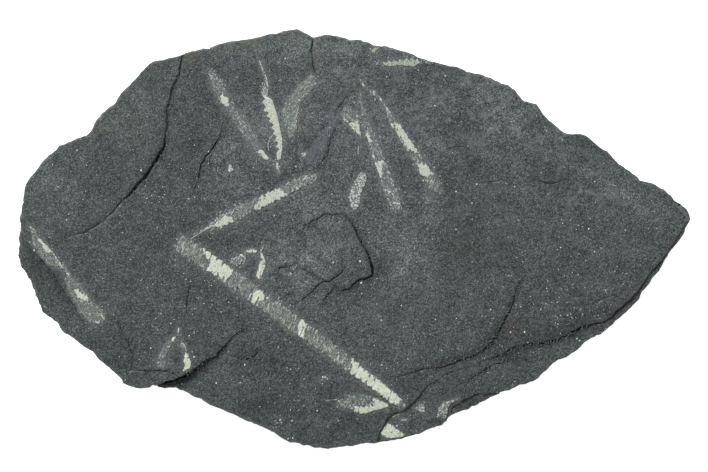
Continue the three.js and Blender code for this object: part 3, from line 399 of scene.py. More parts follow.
def add(kind, inputs, tree=None, **settings):
    """A shader node, each socket filled with a value or with another node's output. It goes
    into the tree of the first such output, or into the given one."""
    wired = {key for key, value in inputs.items() if isinstance(value, bpy.types.NodeSocket)}
    for key in inputs:
        if tree is None and key in wired:
            tree = inputs[key].id_data
    node = tree.nodes.new(kind)
    for key, value in settings.items():
        setattr(node, key, value)
    for key, value in inputs.items():
        if key in wired:
            tree.links.new(value, node.inputs[key])
        else:
            node.inputs[key].default_value = value
    return node


def sums(operation, a, b=0.0):
    return add("ShaderNodeMath", {0: a, 1: b}, operation=operation).outputs[0]


def plus(a, b):
    return sums("ADD", a, b)


def minus(a, b):
    return sums("SUBTRACT", a, b)


def times(a, b):
    return sums("MULTIPLY", a, b)


def blended(share, a, b, blend_type="MIX"):
    """Two colours mixed by a share."""
    inputs = {0: share, 6: a, 7: b}
    return add("ShaderNodeMix", inputs, data_type="RGBA", blend_type=blend_type).outputs[2]


def ranged(value, low, high, to_low=0.0, to_high=1.0, kind="SMOOTHSTEP"):
    inputs = {"Value": value, "From Min": low, "From Max": high}
    inputs.update({"To Min": to_low, "To Max": to_high})
    return add("ShaderNodeMapRange", inputs, interpolation_type=kind).outputs[0]


def varied(tone, by, swing):
    """A tone that a noise lowers and raises by up to that share of it."""
    return times(tone, ranged(by, 0.25, 0.75, 1 - swing, 1 + swing, "LINEAR"))


def attribute(tree, name):
    return add("ShaderNodeAttribute", {}, tree, attribute_name=name).outputs["Fac"]


def in_mm(tree):
    """The piece's own coordinates in mm."""
    where = add("ShaderNodeTexCoord", {}, tree).outputs["Object"]
    return add("ShaderNodeMapping", {"Vector": where, "Scale": (1 / MM,) * 3}).outputs[0]


def noise(vector, size, detail=2.0, roughness=0.6):
    """Noise whose lumps are about that size, in mm."""
    inputs = {"Vector": vector, "Scale": 1 / size, "Detail": detail, "Roughness": roughness}
    return add("ShaderNodeTexNoise", inputs).outputs["Fac"]


def cells(vector, size):
    """Cells of that size, in mm: the three random draws of each, and how far its middle is."""
    made = add("ShaderNodeTexVoronoi", {"Vector": vector, "Scale": 1 / size}).outputs
    return add("ShaderNodeSeparateColor", {0: made["Color"]}).outputs, made["Distance"]


def specks(vector, spacing, fewest, reach):
    """Round grains a spacing apart, in mm. Cells that draw more than fewest hold one."""
    draws, distance = cells(vector, spacing)
    held = sums("GREATER_THAN", draws[0], fewest)
    radius = ranged(draws[2], 0, 1, 0.5 * reach / spacing, reach / spacing, "LINEAR")
    return times(ranged(distance, radius, times(radius, 0.5)), held), draws[1]


def group_with(name, inputs, outputs):
    """An empty node group and its two end nodes."""
    tree = bpy.data.node_groups.new(name, "ShaderNodeTree")
    for way, sockets in {"INPUT": inputs, "OUTPUT": outputs}.items():
        for socket, kind in sockets.items():
            tree.interface.new_socket(socket, in_out=way, socket_type="NodeSocket" + kind)
    return tree, tree.nodes.new("NodeGroupInput"), tree.nodes.new("NodeGroupOutput")


def new_finish(name, values):
    """A new material, and its surface's sockets filled with these values."""
    finish = bpy.data.materials.new(name)
    finish.use_nodes = True
    surface = finish.node_tree.nodes["Principled BSDF"].inputs
    for socket, value in values.items():
        surface[socket].default_value = value
    return finish, surface


def finish_with(name, group, values):
    """A dull material that takes its colour, its relief and, if it has one, its roughness from
    a node group."""
    finish, surface = new_finish(name, {"Specular IOR Level": 0.25, "Roughness": 0.85})
    tree = finish.node_tree
    look = add("ShaderNodeGroup", values, tree, node_tree=group).outputs
    relief = add("ShaderNodeBump", {"Height": look["Height"], "Distance": MM}).outputs[0]
    tree.links.new(look["Color"], surface["Base Color"])
    tree.links.new(relief, surface["Normal"])
    if "Roughness" in look:
        tree.links.new(look["Roughness"], surface["Roughness"])
    return finish


# Shale seen close: silt grains of several greys, white specks of mica and calcite, pale veins
shale, _, ends = group_with("shale_rock", {}, {"Color": "Color", "Height": "Float"})
here = in_mm(shale)
grain = noise(here, 0.13, 2.0, 0.7)
silt = noise(here, 0.4, 3.0, 0.7)
lumps = noise(here, 1.3, 3.0, 0.6)
cloud = noise(here, 3.2, 4.0, 0.65)
region = noise(here, 12.0, 3.0, 0.55)
mosaic, _ = cells(here, 0.12)
tone = plus(times(sums("POWER", mosaic[0], 2.0), 1.8), 0.4)
for by, swing in (grain, 0.5), (silt, 0.14), (lumps, 0.16), (cloud, 0.18), (region, 0.14):
    tone = varied(tone, by, swing)
patchy = ranged(noise(here, 1.8, 4.0, 0.7), 0.4, 0.6)
pale = times(attribute(shale, "pale"), ranged(patchy, 0, 1, 0.3, 0.95))
# painted shade: the shade mask darkens the bed along its steps and cracks, and in the dark ovals
shade = times(attribute(shale, "shade"), -0.42)
tone = times(times(tone, plus(pale, 1.0)), plus(shade, 1.0))
warmth = ranged(noise(here, 9.0, 3.0, 0.6), 0.35, 0.65)
slate = blended(warmth, (0.0625, 0.0757, 0.0742, 1), (0.0660, 0.0745, 0.0755, 1))
grey = blended(1.0, slate, tone, "MULTIPLY")

# a net of veins, its cells bent out of shape by a noise
VEIN_SPACING, VEIN_BEND = 4.2, 2.4  # in mm
bend = add("ShaderNodeTexNoise", {"Vector": here, "Scale": 0.5, "Detail": 3.0}).outputs["Color"]
for other, operation in ((VEIN_BEND,) * 3, "MULTIPLY"), (here, "ADD"):
    bend = add("ShaderNodeVectorMath", {0: bend, 1: other}, operation=operation).outputs[0]
bent = {"Vector": bend, "Scale": 1 / VEIN_SPACING}
net = add("ShaderNodeTexVoronoi", bent, feature="DISTANCE_TO_EDGE").outputs["Distance"]
veined = plus(attribute(shale, "veined"), 0.2)
vein = times(times(ranged(net, 0.0, 0.13, 1.0, 0.0), times(veined, patchy)), 0.6)

# stains, wear, painted shade and painted light, each laid over those before it
ghost = times(attribute(shale, "ghost"), ranged(silt, 0.3, 0.7, 0.1, 0.5))
rim = ranged(attribute(shale, "rim_gap"), 0.1, 0.8, 1.0, 0.0)
olive = times(times(attribute(shale, "olive"), patchy), rim)
rust = times(attribute(shale, "rust"), ranged(silt, 0.4, 0.62, 0.0, 0.6))
rubbed = times(attribute(shale, "crest"), 0.45)
# painted shade along the cracks: ragged near-black blotches on and beside their lips
near = ranged(attribute(shale, "crack_gap"), 0.0, 1.0, 1.0, 0.0)
crack_lip_shade = plus(noise(here, 0.4, 3.0, 0.8), times(near, 0.16))
crack_lip_shade = times(ranged(crack_lip_shade, 0.57, 0.67, 0.0, 0.65), near)
dust_and_painted_light = attribute(shale, "dust_and_painted_light")
# painted shade: hollows and cracks darkened where shade falls, lifted on the deepest crack floors to a
# pale grey of dust and painted light
hollow_shade_dust_and_light_grey = blended(dust_and_painted_light, (0.024, 0.026, 0.026, 1), (0.20, 0.21, 0.205, 1))
hollow_shade_dust_and_light = times(attribute(shale, "hollow"), ranged(silt, 0.45, 0.62, 0.6, 0.1))
hollow_shade_dust_and_light = sums("MAXIMUM", hollow_shade_dust_and_light, times(dust_and_painted_light, 0.7))
ring = ranged(attribute(shale, "film_gap"), 0.0, 1.0, 1.0, 0.0)
tint = times(sums("POWER", ring, 2.0), ranged(silt, 0.3, 0.7, 0.1, 0.7))
fewest = minus(minus(0.89, times(ring, 0.22)), times(veined, 0.06))
fine, draw = specks(here, 0.42, fewest, 0.12)
fine = times(fine, ranged(draw, 0, 1, 0.2, 0.95))
white, draw = specks(here, 0.8, minus(0.938, times(ring, 0.12)), 0.18)
white = times(white, ranged(draw, 0, 1, 0.4, 1.0))
for share, colour in [
    (vein, (0.17, 0.185, 0.18, 1)), (ghost, (0.150, 0.158, 0.178, 1)),
    (olive, (0.105, 0.101, 0.068, 1)), (rust, (0.125, 0.085, 0.068, 1)),
    (rubbed, (0.17, 0.18, 0.178, 1)), (crack_lip_shade, (0.018, 0.020, 0.020, 1)),
    (hollow_shade_dust_and_light, hollow_shade_dust_and_light_grey), (tint, (0.15, 0.165, 0.16, 1)),
    (fine, (0.42, 0.45, 0.44, 1)), (white, (0.64, 0.68, 0.66, 1)),
]:
    grey = blended(share, grey, colour)
relief = plus(plus(times(grain, 0.07), times(silt, 0.1)), times(lumps, 0.12))
shale.links.new(grey, ends.inputs["Color"])
shale.links.new(relief, ends.inputs["Height"])

shale_finish = finish_with("dark_shale", shale, {})
slab.data.materials.append(shale_finish)
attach(slab, "root")
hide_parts("shale_slab")

# Long biserial graptolite -----------------------
# The longest colony: a flattened double row of thecae in a pale clay film. Most of it is worn
# to a grey-green ghost, and four patches of the film are still bright.
FILM_CELL = 0.14  # size of the cells that a film is cut into, in mm
CAD_FILM = 0.15  # thickness of a film's solid, in mm
FILM_EDGE, FILM_BODY, FILM_BRIGHT = 0.02, 0.03, 0.05  # heights that add up over the film, in mm
FEATHER = 0.3  # width of the edge that thins out, in mm
BRIGHT_EDGE = 0.1  # half width of the slope up to a bright patch, in mm
STREAK_SLOPE = 2.5  # how many times steeper a streak's side is than a patch's
SUNK = 0.05  # how deep a film's underside lies in the bed, in mm


def depth_inside(at, outline):
    """How far each place lies inside a closed outline, in mm; below zero outside it."""
    start = np.array(outline, float)
    run = np.roll(start, -1, axis=0) - start
    to = at[:, None] - start
    share = np.clip((to * run).sum(2) / (run**2).sum(1), 0, 1)
    gap = np.linalg.norm(to - share[..., None] * run, axis=2).min(1)
    rise = np.where(run[:, 1] == 0, 1e-9, run[:, 1])
    beside = (start[:, 1] > at[:, 1, None]) != (start[:, 1] + run[:, 1] > at[:, 1, None])
    crossing = start[:, 0] + (at[:, 1, None] - start[:, 1]) * run[:, 0] / rise
    inside = (beside & (at[:, 0, None] < crossing)).sum(1) % 2 == 1
    return np.where(inside, gap, -gap)


def lay_film(node, finish, patches=(), streaks=()):
    """The film of one colony or fragment, from its solid: fine cells, a feathered edge, and the
    bright patches and streaks a little proud of the worn rest. With neither it is all bright."""
    film = open_piece(node + "_film", node)
    bpy.ops.mesh.dissolve_limited(angle_limit=math.radians(1))
    hide_underside(film)
    low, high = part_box(node)
    cut_across(0, low.x, high.x, FILM_CELL)
    cut_across(1, low.y, high.y, FILM_CELL)
    close_piece()
    at = places_of(film)
    top = normals_of(film)[:, 2] > 0
    sides = [face.vertices for face in film.data.polygons if abs(face.normal.z) < 0.5]
    edge = gap_between(at, at[sorted({index for side in sides for index in side})])
    shine = np.full(len(at), -9.0 if patches or streaks else 1.0)
    for outline in patches:
        shine = np.maximum(shine, depth_inside(at[:, :2], outline))
    for line in streaks:
        shine = np.maximum(shine, STREAK_SLOPE * depth_in_streak(at[:, :2], line))
    raised = FILM_EDGE + FILM_BODY * ramp(edge, 0, FEATHER)
    raised += FILM_BRIGHT * ramp(shine, -BRIGHT_EDGE, BRIGHT_EDGE)
    at[:, 2] += np.where(top, raised - CAD_FILM, -SUNK)
    put_places(film, at)
    write_mask(film, "edge_depth", edge)
    write_mask(film, "bright_depth", shine)
    swell(film)
    bpy.ops.object.shade_smooth_by_angle(angle=math.radians(40))
    film.data.materials.append(finish)
    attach(film, "root")
    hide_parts(node)


# Film seen close: bright clay with a fine speckle, pinholes and ragged borders, notched between
# its thecae; where it is worn, a grey-green wash of short strokes along one bearing.
look = dict.fromkeys(("Flecks", "Pinholes", "Ragged", "Pitch", "Notch"), "Float")
look.update({"Bright": "Color", "Worn": "Color", "Turn": "Vector", "Stretch": "Vector"})
shown = {"Color": "Color", "Height": "Float", "Roughness": "Float"}
cover, given, ends = group_with("graptolite_film", look, shown)
look = given.outputs
rock = add("ShaderNodeGroup", {}, cover, node_tree=shale).outputs
where = add("ShaderNodeTexCoord", {}, cover).outputs["Object"]
turned = add("ShaderNodeMapping", {"Vector": where, "Rotation": look["Turn"]}).outputs[0]
along = add("ShaderNodeMapping", {"Vector": turned, "Scale": look["Stretch"]}).outputs[0]
here = in_mm(cover)
ragged = noise(here, 0.4, 3.0, 0.75)
hatch = noise(along, 0.14, 2.0, 0.6)
_, lobes = cells(here, 0.75)
stroke, _ = cells(along, 0.10)
grit, _ = cells(here, 0.16)
edge = attribute(cover, "edge_depth")
shine = attribute(cover, "bright_depth")
strokes = times(minus(stroke[0], 0.5), 0.36)
wander = plus(times(minus(ragged, 0.5), 1.4), strokes)
wander = times(plus(wander, times(minus(0.42, lobes), 0.9)), look["Ragged"])

# the worn rest, with its flecks
worn_edge = plus(plus(edge, times(strokes, 1.5)), times(wander, 0.3))
worn_share = times(ranged(worn_edge, 0.0, 0.12), ranged(ragged, 0.3, 0.6, 0.45, 0.85))
tone = plus(times(sums("POWER", stroke[0], 2.0), 1.2), 0.3)
tone = varied(plus(tone, times(grit[0], 0.6)), hatch, 0.28)
olive = ranged(noise(here, 1.7, 3.0, 0.6), 0.42, 0.62, 0.0, 0.4)
wash = blended(olive, look["Worn"], (0.175, 0.20, 0.15, 1))
colour = blended(worn_share, rock["Color"], blended(1.0, wash, tone, "MULTIPLY"))
fringe = ranged(noise(here, 2.2, 2.0, 0.6), 0.42, 0.58, 0.0, 0.4)
fringe = times(fringe, ranged(edge, 0.06, 0.4, 1.0, 0.0))
fewest = minus(1.0, times(plus(fringe, 0.08), look["Flecks"]))
fleck = times(sums("GREATER_THAN", stroke[1], fewest), ranged(stroke[2], 0, 1, 0.15, 1.0))
fleck = times(fleck, ranged(worn_edge, -0.05, 0.05))
colour = blended(fleck, colour, (0.47, 0.50, 0.47, 1))

# the bright clay, rubbed white along its borders, with its pinholes and notches
shine_edge = plus(plus(shine, 0.04), wander)
film_edge = plus(edge, times(wander, 0.35))
bright_share = times(ranged(shine_edge, -0.03, 0.04), ranged(film_edge, -0.02, 0.04))
rubbed = ranged(shine_edge, 0.0, 0.3, 0.5, 0.0)
clay = blended(rubbed, look["Bright"], (0.59, 0.62, 0.57, 1))
clay = blended(1.0, clay, ranged(grit[0], 0.0, 1.0, 0.76, 1.16, "LINEAR"), "MULTIPLY")
holes = minus(plus(0.31, times(look["Pinholes"], 0.2)), noise(here, 0.26, 2.0, 0.7))
row = add("ShaderNodeSeparateXYZ", {0: turned}).outputs[1]
row = sums("DIVIDE", times(row, 1 / MM), look["Pitch"])
row = sums("FRACT", plus(row, times(ragged, 0.6)))
gap = times(sums("ABSOLUTE", minus(row, 0.5)), look["Pitch"])
uneven = ranged(noise(here, 0.9, 1.0), 0.35, 0.65, 0.45, 1.25, "LINEAR")
inward = sums("MINIMUM", shine_edge, film_edge)
notch = minus(times(minus(times(look["Notch"], uneven), inward), 0.38), gap)
open_share = ranged(holes, -0.03, 0.03, 0.0, 0.9)
open_share = sums("MAXIMUM", open_share, ranged(notch, -0.02, 0.02, 0.0, 0.9))
colour = blended(bright_share, colour, blended(open_share, clay, rock["Color"]))
film_relief = plus(times(hatch, 0.04), rock["Height"])
cover.links.new(colour, ends.inputs["Color"])
cover.links.new(film_relief, ends.inputs["Height"])
cover.links.new(ranged(bright_share, 0, 1, 0.85, 0.6), ends.inputs["Roughness"])

CREAM = (0.56, 0.595, 0.49, 1)
DULL_CREAM = (0.46, 0.495, 0.415, 1)
GREY_GREEN = (0.175, 0.202, 0.185, 1)


def film_finish(
    name, bearing, bright=CREAM, worn=GREY_GREEN, flecks=0.5, pinholes=0.1, ragged=0.5, stretch=2,
    pitch=0.75, notch=0.0,
):
    """A colony's own film: its strokes run along a bearing, in degrees, and are some number of
    times as long as they are wide. Notches a pitch apart cut into its edges, in mm."""
    look = {"Bright": bright, "Worn": worn, "Flecks": flecks, "Pinholes": pinholes}
    look.update({"Ragged": ragged, "Stretch": (1 / (stretch * MM), 1 / MM, 1 / MM)})
    look.update({"Turn": (0, 0, -math.radians(bearing)), "Pitch": pitch, "Notch": notch})
    return finish_with(name, cover, look)


lay_film(
    "long_biserial_graptolite",
    film_finish(
        "long_biserial_film", 68, flecks=1.0, ragged=0.4, stretch=5, pitch=0.99, notch=0.6
    ),
    patches=[
        [(-22.4, -1.1), (-21.9, -1.55), (-21.35, -1.75), (-20.9, -2.3), (-20.7, -2.95), (-20.4, -2.7),
         (-19.6, -3.35), (-19.35, -4.05), (-18.95, -3.9), (-18.4, -4.55), (-17.9, -4.5), (-18.25, -5.1),
         (-19.1, -5.9), (-19.35, -6.5), (-19.9, -5.9), (-21.25, -5.5), (-20.7, -4.85), (-21.35, -5.25),
         (-22.25, -4.7), (-21.75, -4.05), (-22.0, -3.6), (-21.9, -3.35), (-22.55, -2.4), (-22.85, -1.5)],
        [(-16.0, -9.1), (-15.75, -8.45), (-14.95, -7.8), (-14.4, -7.8), (-14.15, -7.3), (-13.85, -7.8),
         (-13.6, -8.45), (-13.2, -8.2), (-12.85, -9.0), (-13.2, -9.1), (-14.4, -9.25), (-15.05, -9.8)],
        [(-8.25, -11.8), (-7.75, -12.15), (-7.15, -12.7), (-7.3, -13.4), (-7.45, -13.7), (-7.75, -14.55),
         (-7.7, -15.2), (-7.9, -15.3), (-8.6, -14.75), (-8.45, -13.8), (-8.75, -13.05), (-8.5, -12.15)],
        [(-0.25, -17.8), (0.35, -18.6), (0.8, -18.65), (1.1, -19.35), (1.7, -19.55), (2.0, -20.1),
         (2.4, -20.0), (2.9, -20.85), (3.35, -20.7), (3.65, -21.45), (4.25, -21.5), (4.55, -22.05),
         (4.95, -22.1), (5.3, -22.65), (5.75, -22.65), (6.05, -23.25), (6.55, -23.35), (7.1, -23.85),
         (6.65, -24.7), (6.05, -24.95), (5.5, -24.7), (4.45, -23.9), (3.45, -23.1), (2.5, -22.45),
         (1.5, -21.6), (0.55, -21.1), (-0.9, -20.0), (-0.7, -19.05), (-0.55, -18.45)],
    ],
    streaks=[
        [(-26.8, 0.0, 0.04), (-26.2, -0.6, 0.06)], [(-25.6, 0.65, 0.07)],
        [(-26.65, -1.4, 0.05), (-25.8, -2.1, 0.07)],
    ],
)

# Short biserial graptolite ----------------------
# Its shorter neighbour: a thread at the near end, then two bright patches with a worn stretch
# between them, and a speckled, scattered tip.
lay_film(
    "short_biserial_graptolite",
    film_finish(
        "short_biserial_film", 100, bright=DULL_CREAM, worn=(0.150, 0.172, 0.174, 1), flecks=1.2,
        ragged=0.6, notch=0.3,
    ),
    patches=[
        [(-21.45, 1.95), (-20.8, 2.25), (-20.3, 2.9), (-19.6, 3.3), (-18.7, 3.3), (-18.25, 2.8),
         (-17.85, 2.55), (-18.1, 2.1), (-18.55, 2.1), (-19.0, 1.6), (-19.45, 1.8), (-19.75, 1.4),
         (-20.15, 1.7), (-20.65, 1.8)],
        [(-15.05, 4.6), (-14.65, 5.35), (-14.1, 6.0), (-14.25, 6.45), (-13.95, 6.8), (-13.2, 7.15),
         (-12.25, 7.3), (-11.9, 7.85), (-11.3, 7.6), (-10.9, 7.15), (-9.9, 6.75), (-10.15, 6.45),
         (-10.75, 6.0), (-11.2, 5.7), (-11.45, 5.9), (-11.9, 5.45), (-12.35, 5.45), (-12.75, 4.9),
         (-13.1, 5.0), (-13.5, 4.65), (-13.95, 4.35), (-14.75, 4.15)],
    ],
    streaks=[
        [(-24.3, 0.6, 0.07), (-22.0, 1.75, 0.07), (-21.4, 1.95, 0.12)],
        [(-9.4, 7.15, 0.12), (-8.6, 7.5, 0.14)], [(-7.7, 8.8, 0.09), (-6.8, 9.9, 0.09)],
    ],
)

# Tuning fork ------------------------------------
# Two stipes that meet at the sicula. The left one is mostly a worn shadow with two bright bits;
# the right one is the best preserved on the slab, bright and saw-edged along its inner side.
lay_film(
    "tuning_fork_left_stipe",
    film_finish(
        "fork_left_film", -58, bright=DULL_CREAM, worn=(0.145, 0.163, 0.166, 1), ragged=0.4
    ),
    patches=[
        [(-20.4, 21.4), (-19.9, 21.55), (-19.25, 21.4), (-19.05, 20.95), (-18.95, 20.2), (-18.75, 19.95),
         (-19.35, 19.9), (-19.65, 20.25), (-20.05, 20.8)],
        [(-14.6, 13.05), (-14.05, 13.4), (-13.6, 13.3), (-13.6, 12.85), (-12.85, 12.3), (-13.0, 12.1),
         (-13.4, 11.85), (-14.0, 12.45)],
    ],
    streaks=[
        [(-21.75, 25.05, 0.06)], [(-21.4, 24.25, 0.07)], [(-20.8, 24.6, 0.04)],
        [(-20.35, 24.15, 0.05), (-19.5, 23.1, 0.06)],
    ],
)
lay_film(
    "tuning_fork_right_stipe",
    film_finish(
        "fork_right_film", 20, bright=DULL_CREAM, worn=(0.19, 0.205, 0.2, 1), pinholes=0.3, ragged=0.3
    ),
    patches=[
        [(-14.5, 21.5), (-13.6, 21.7), (-13.15, 21.0), (-12.7, 21.4), (-10.0, 19.0), (-10.0, 11.95),
         (-12.2, 11.85), (-14.8, 18.0)],
    ],
    streaks=[
        [(-14.4, 26.8, 0.05), (-13.8, 25.6, 0.06), (-13.3, 24.25, 0.07), (-13.0, 22.9, 0.12)],
        [(-13.65, 22.5, 0.06), (-13.85, 21.7, 0.07)],
        [(-11.45, 11.85, 0.07), (-11.65, 11.0, 0.11), (-11.2, 9.95, 0.06)],
    ],
)

# Worn top stipe ---------------------------------
# A broad stipe below the crack in the top edge, rubbed to a grey-green stain with pale flecks.
lay_film(
    "worn_top_stipe",
    film_finish("worn_top_film", 50, worn=(0.180, 0.216, 0.198, 1), flecks=0.45),
    streaks=[
        [(-6.75, 24.75, 0.07), (-6.15, 24.95, 0.06)], [(-5.9, 23.4, 0.05), (-6.4, 22.65, 0.04)],
    ],
)

# Top edge stipe and its chip --------------------
# A short bright stipe that lies along the slab's top edge, with a loose chip beside it.
edge_finish = film_finish("top_edge_film", 80, bright=(0.36, 0.40, 0.325, 1), pinholes=0.6)
for node in ("top_edge_stipe", "top_edge_chip"):
    lay_film(node, edge_finish)

# Right pair -------------------------------------
# Two stipes that spread downward from near the top edge: the right one bright for half its
# length, the left one a purplish shadow with scattered bright bits.
lay_film(
    "right_pair_right_stipe",
    film_finish(
        "right_pair_right_film", 80, bright=DULL_CREAM, worn=(0.155, 0.168, 0.172, 1), flecks=1.0,
        ragged=0.7, stretch=3, pitch=0.6, notch=0.3,
    ),
    patches=[
        [(5.1, 17.35), (5.55, 17.45), (6.1, 17.2), (6.5, 17.45), (7.15, 16.55), (8.4, 15.05),
         (10.05, 12.55), (9.35, 13.25), (8.75, 13.15), (7.95, 13.4), (7.45, 14.35), (7.0, 15.15),
         (6.35, 15.95), (5.9, 16.55)],
        [(10.0, 11.45), (10.8, 11.3), (11.65, 9.8), (10.95, 9.4), (9.85, 9.3), (10.0, 9.8), (9.2, 10.15),
         (9.65, 10.9)],
    ],
    streaks=[
        [(0.65, 24.1, 0.05), (1.45, 22.7, 0.09)], [(2.95, 22.25, 0.15), (2.9, 21.2, 0.19)],
        [(3.65, 21.4, 0.06), (5.15, 19.05, 0.09)], [(11.25, 8.8, 0.07), (11.1, 8.2, 0.06)],
        [(11.75, 7.7, 0.09)],
    ],
)
lay_film(
    "right_pair_left_stipe",
    film_finish(
        "right_pair_left_film", -70, bright=(0.47, 0.505, 0.455, 1), worn=(0.160, 0.171, 0.182, 1),
        flecks=0.9,
    ),
    patches=[
        [(1.7, 15.8), (2.15, 15.55), (2.25, 15.05), (2.65, 14.65), (2.1, 14.35), (1.85, 15.15)],
        [(2.95, 11.45), (4.25, 11.65), (4.45, 11.45), (4.05, 11.05), (4.0, 10.1), (4.05, 9.15),
         (3.65, 9.15), (3.35, 10.1)],
    ],
    streaks=[
        [(0.8, 22.3, 0.06), (0.8, 21.4, 0.06)], [(0.8, 18.9, 0.07)],
        [(2.65, 12.65, 0.09), (3.2, 11.9, 0.11)], [(5.1, 9.95, 0.06), (5.5, 9.6, 0.06)],
        [(4.6, 7.3, 0.09), (5.3, 7.0, 0.12)], [(5.9, 5.4, 0.12), (6.6, 5.3, 0.12)],
        [(5.85, 3.95, 0.08)],
    ],
)

# Fragments in the middle of the slab ------------
# A speckled scrap with a bright lower edge, and a rounded scrap speckled all over.
lay_film(
    "speckled_fragment",
    film_finish(
        "speckled_film", -45, bright=DULL_CREAM, worn=(0.155, 0.17, 0.165, 1), flecks=1.4, pinholes=0.6
    ),
    patches=[
        [(-1.7, 18.3), (-0.75, 17.35), (-0.2, 17.2), (0.45, 17.75), (0.75, 17.05), (1.05, 15.45),
         (0.75, 15.3), (0.1, 16.25), (-0.8, 17.1), (-1.6, 18.0)],
    ],
)
lay_film(
    "rounded_fragment",
    film_finish("rounded_film", 65, bright=(0.47, 0.505, 0.465, 1), pinholes=1.0),
)

# Centre pair ------------------------------------
# A small pair just above the long colony: the right stipe bright, the left one scattered.
lay_film(
    "centre_pair_right_stipe",
    film_finish("centre_right_film", -80, pinholes=0.7, ragged=0.7),
    patches=[
        [(-13.95, -2.2), (-13.3, -3.0), (-13.2, -4.0), (-13.6, -5.4), (-13.9, -6.3), (-15.0, -6.2),
         (-15.0, -5.0), (-14.4, -3.6)],
    ],
    streaks=[[(-13.45, -1.0, 0.07), (-14.0, -1.7, 0.09)]],
)
lay_film(
    "centre_pair_left_stipe",
    film_finish("centre_left_film", 40, worn=(0.148, 0.165, 0.18, 1), flecks=1.2),
    streaks=[
        [(-16.1, -1.95, 0.15), (-15.6, -1.85, 0.17)], [(-15.2, -1.8, 0.15), (-14.75, -1.9, 0.12)],
        [(-17.05, -2.4, 0.11), (-16.65, -2.65, 0.09)], [(-16.3, -2.65, 0.06), (-16.6, -3.45, 0.06)],
        [(-16.95, -3.0, 0.06), (-17.25, -3.75, 0.06)],
    ],
)

# Lower pair -------------------------------------
# A small pair near the lower left edge, its right stipe bright at the lower end.
lay_film(
    "lower_pair_right_stipe",
    film_finish("lower_right_film", 20, pinholes=0.5, ragged=0.6),
    patches=[
        [(-25.9, -16.95), (-24.9, -17.0), (-24.3, -18.4), (-24.3, -19.4), (-25.0, -20.2), (-26.1, -20.2),
         (-25.8, -18.5)],
    ],
    streaks=[[(-26.2, -15.45, 0.07), (-25.55, -15.8, 0.1), (-25.25, -16.7, 0.1)]],
)
lay_film(
    "lower_pair_left_stipe",
    film_finish("lower_left_film", 60, worn=(0.122, 0.140, 0.138, 1)),
    patches=[[(-27.55, -15.0), (-26.9, -14.5), (-26.95, -15.15), (-27.25, -15.6)]],
    streaks=[
        [(-26.35, -13.4, 0.06), (-26.6, -13.8, 0.06)],
        [(-26.5, -13.95, 0.05), (-26.5, -14.35, 0.05)],
        [(-28.35, -15.9, 0.05), (-28.6, -16.35, 0.07), (-28.4, -16.6, 0.05)],
        [(-27.8, -16.2, 0.05)], [(-29.3, -17.95, 0.06)],
    ],
)

# Left margin stipe ------------------------------
# It lies along the split that follows the slab's left margin, bright in a chain of blotches.
lay_film(
    "left_margin_stipe",
    film_finish(
        "left_margin_film", 60, bright=DULL_CREAM, worn=(0.150, 0.172, 0.158, 1), flecks=0.6, stretch=1.2
    ),
    patches=[
        [(-47.4, 0.1), (-46.2, -0.8), (-45.4, -1.8), (-45.8, -2.2), (-46.7, -1.5), (-47.3, -0.5)],
        [(-42.1, -7.5), (-41.4, -7.7), (-40.2, -8.7), (-39.6, -9.3), (-40.1, -9.5), (-41.6, -8.6)],
    ],
    streaks=[
        [(-48.7, 1.9, 0.09), (-48.05, 1.35, 0.09)], [(-45.4, -1.9, 0.07), (-44.5, -3.2, 0.09)],
        [(-44.3, -3.65, 0.14), (-43.85, -4.35, 0.15)], [(-43.3, -5.1, 0.09), (-42.6, -5.6, 0.07)],
        [(-38.2, -11.1, 0.09), (-37.5, -12.2, 0.12)], [(-39.0, -12.3, 0.09), (-38.2, -12.7, 0.09)],
    ],
)

# Scraps along the lower edge --------------------
# Fragments under the far end of the long colony and on the ledge below it.
lay_film(
    "lower_stipe_fragment",
    film_finish(
        "lower_stipe_film", 85, bright=(0.5, 0.535, 0.43, 1), worn=(0.115, 0.135, 0.130, 1), flecks=1.5,
        notch=0.35,
    ),
    patches=[
        [(2.9, -23.9), (4.0, -24.2), (5.3, -24.95), (5.2, -25.6), (3.8, -25.6), (3.0, -26.1),
         (1.2, -26.5), (0.1, -26.1), (0.0, -25.1), (1.2, -25.3), (2.6, -25.1)],
    ],
)
bright_scrap = film_finish("bright_scrap_film", 75, pinholes=0.4, ragged=0.6, notch=0.35)
pale_scrap = film_finish("pale_scrap_film", 0, bright=(0.5, 0.53, 0.49, 1), pinholes=1.15)
lay_film("bottom_triangular_fragment", bright_scrap)
for node in ("lower_right_fragment", "triangular_shred"):
    lay_film(node, pale_scrap)
dull_scrap = film_finish("dull_scrap_film", 20, bright=(0.46, 0.49, 0.475, 1), pinholes=0.6, ragged=0.4)
for node in ("slanted_shred", "level_shred", "curled_shred", "left_chip", "centre_chip"):
    lay_film(node, dull_scrap)

# Stray threads ----------------------------------
# Torn ends and loose hairs of film on and beside the colonies, each a thread flat on the bed.
THREAD = 0.05  # half width of a thread, in mm
THREAD_LEVEL = BED + 0.04  # height of a thread's middle, in mm
HAIR_REACH = (0.03, 0.2)  # half of a hair's length, from and to, in mm
HAIR_WIDTH = (0.5, 1.1)  # its width, from and to, as a share of a thread's
STREW_SPREAD = 1.6  # a strewn patch reaches this many times as far as its hairs' usual distance
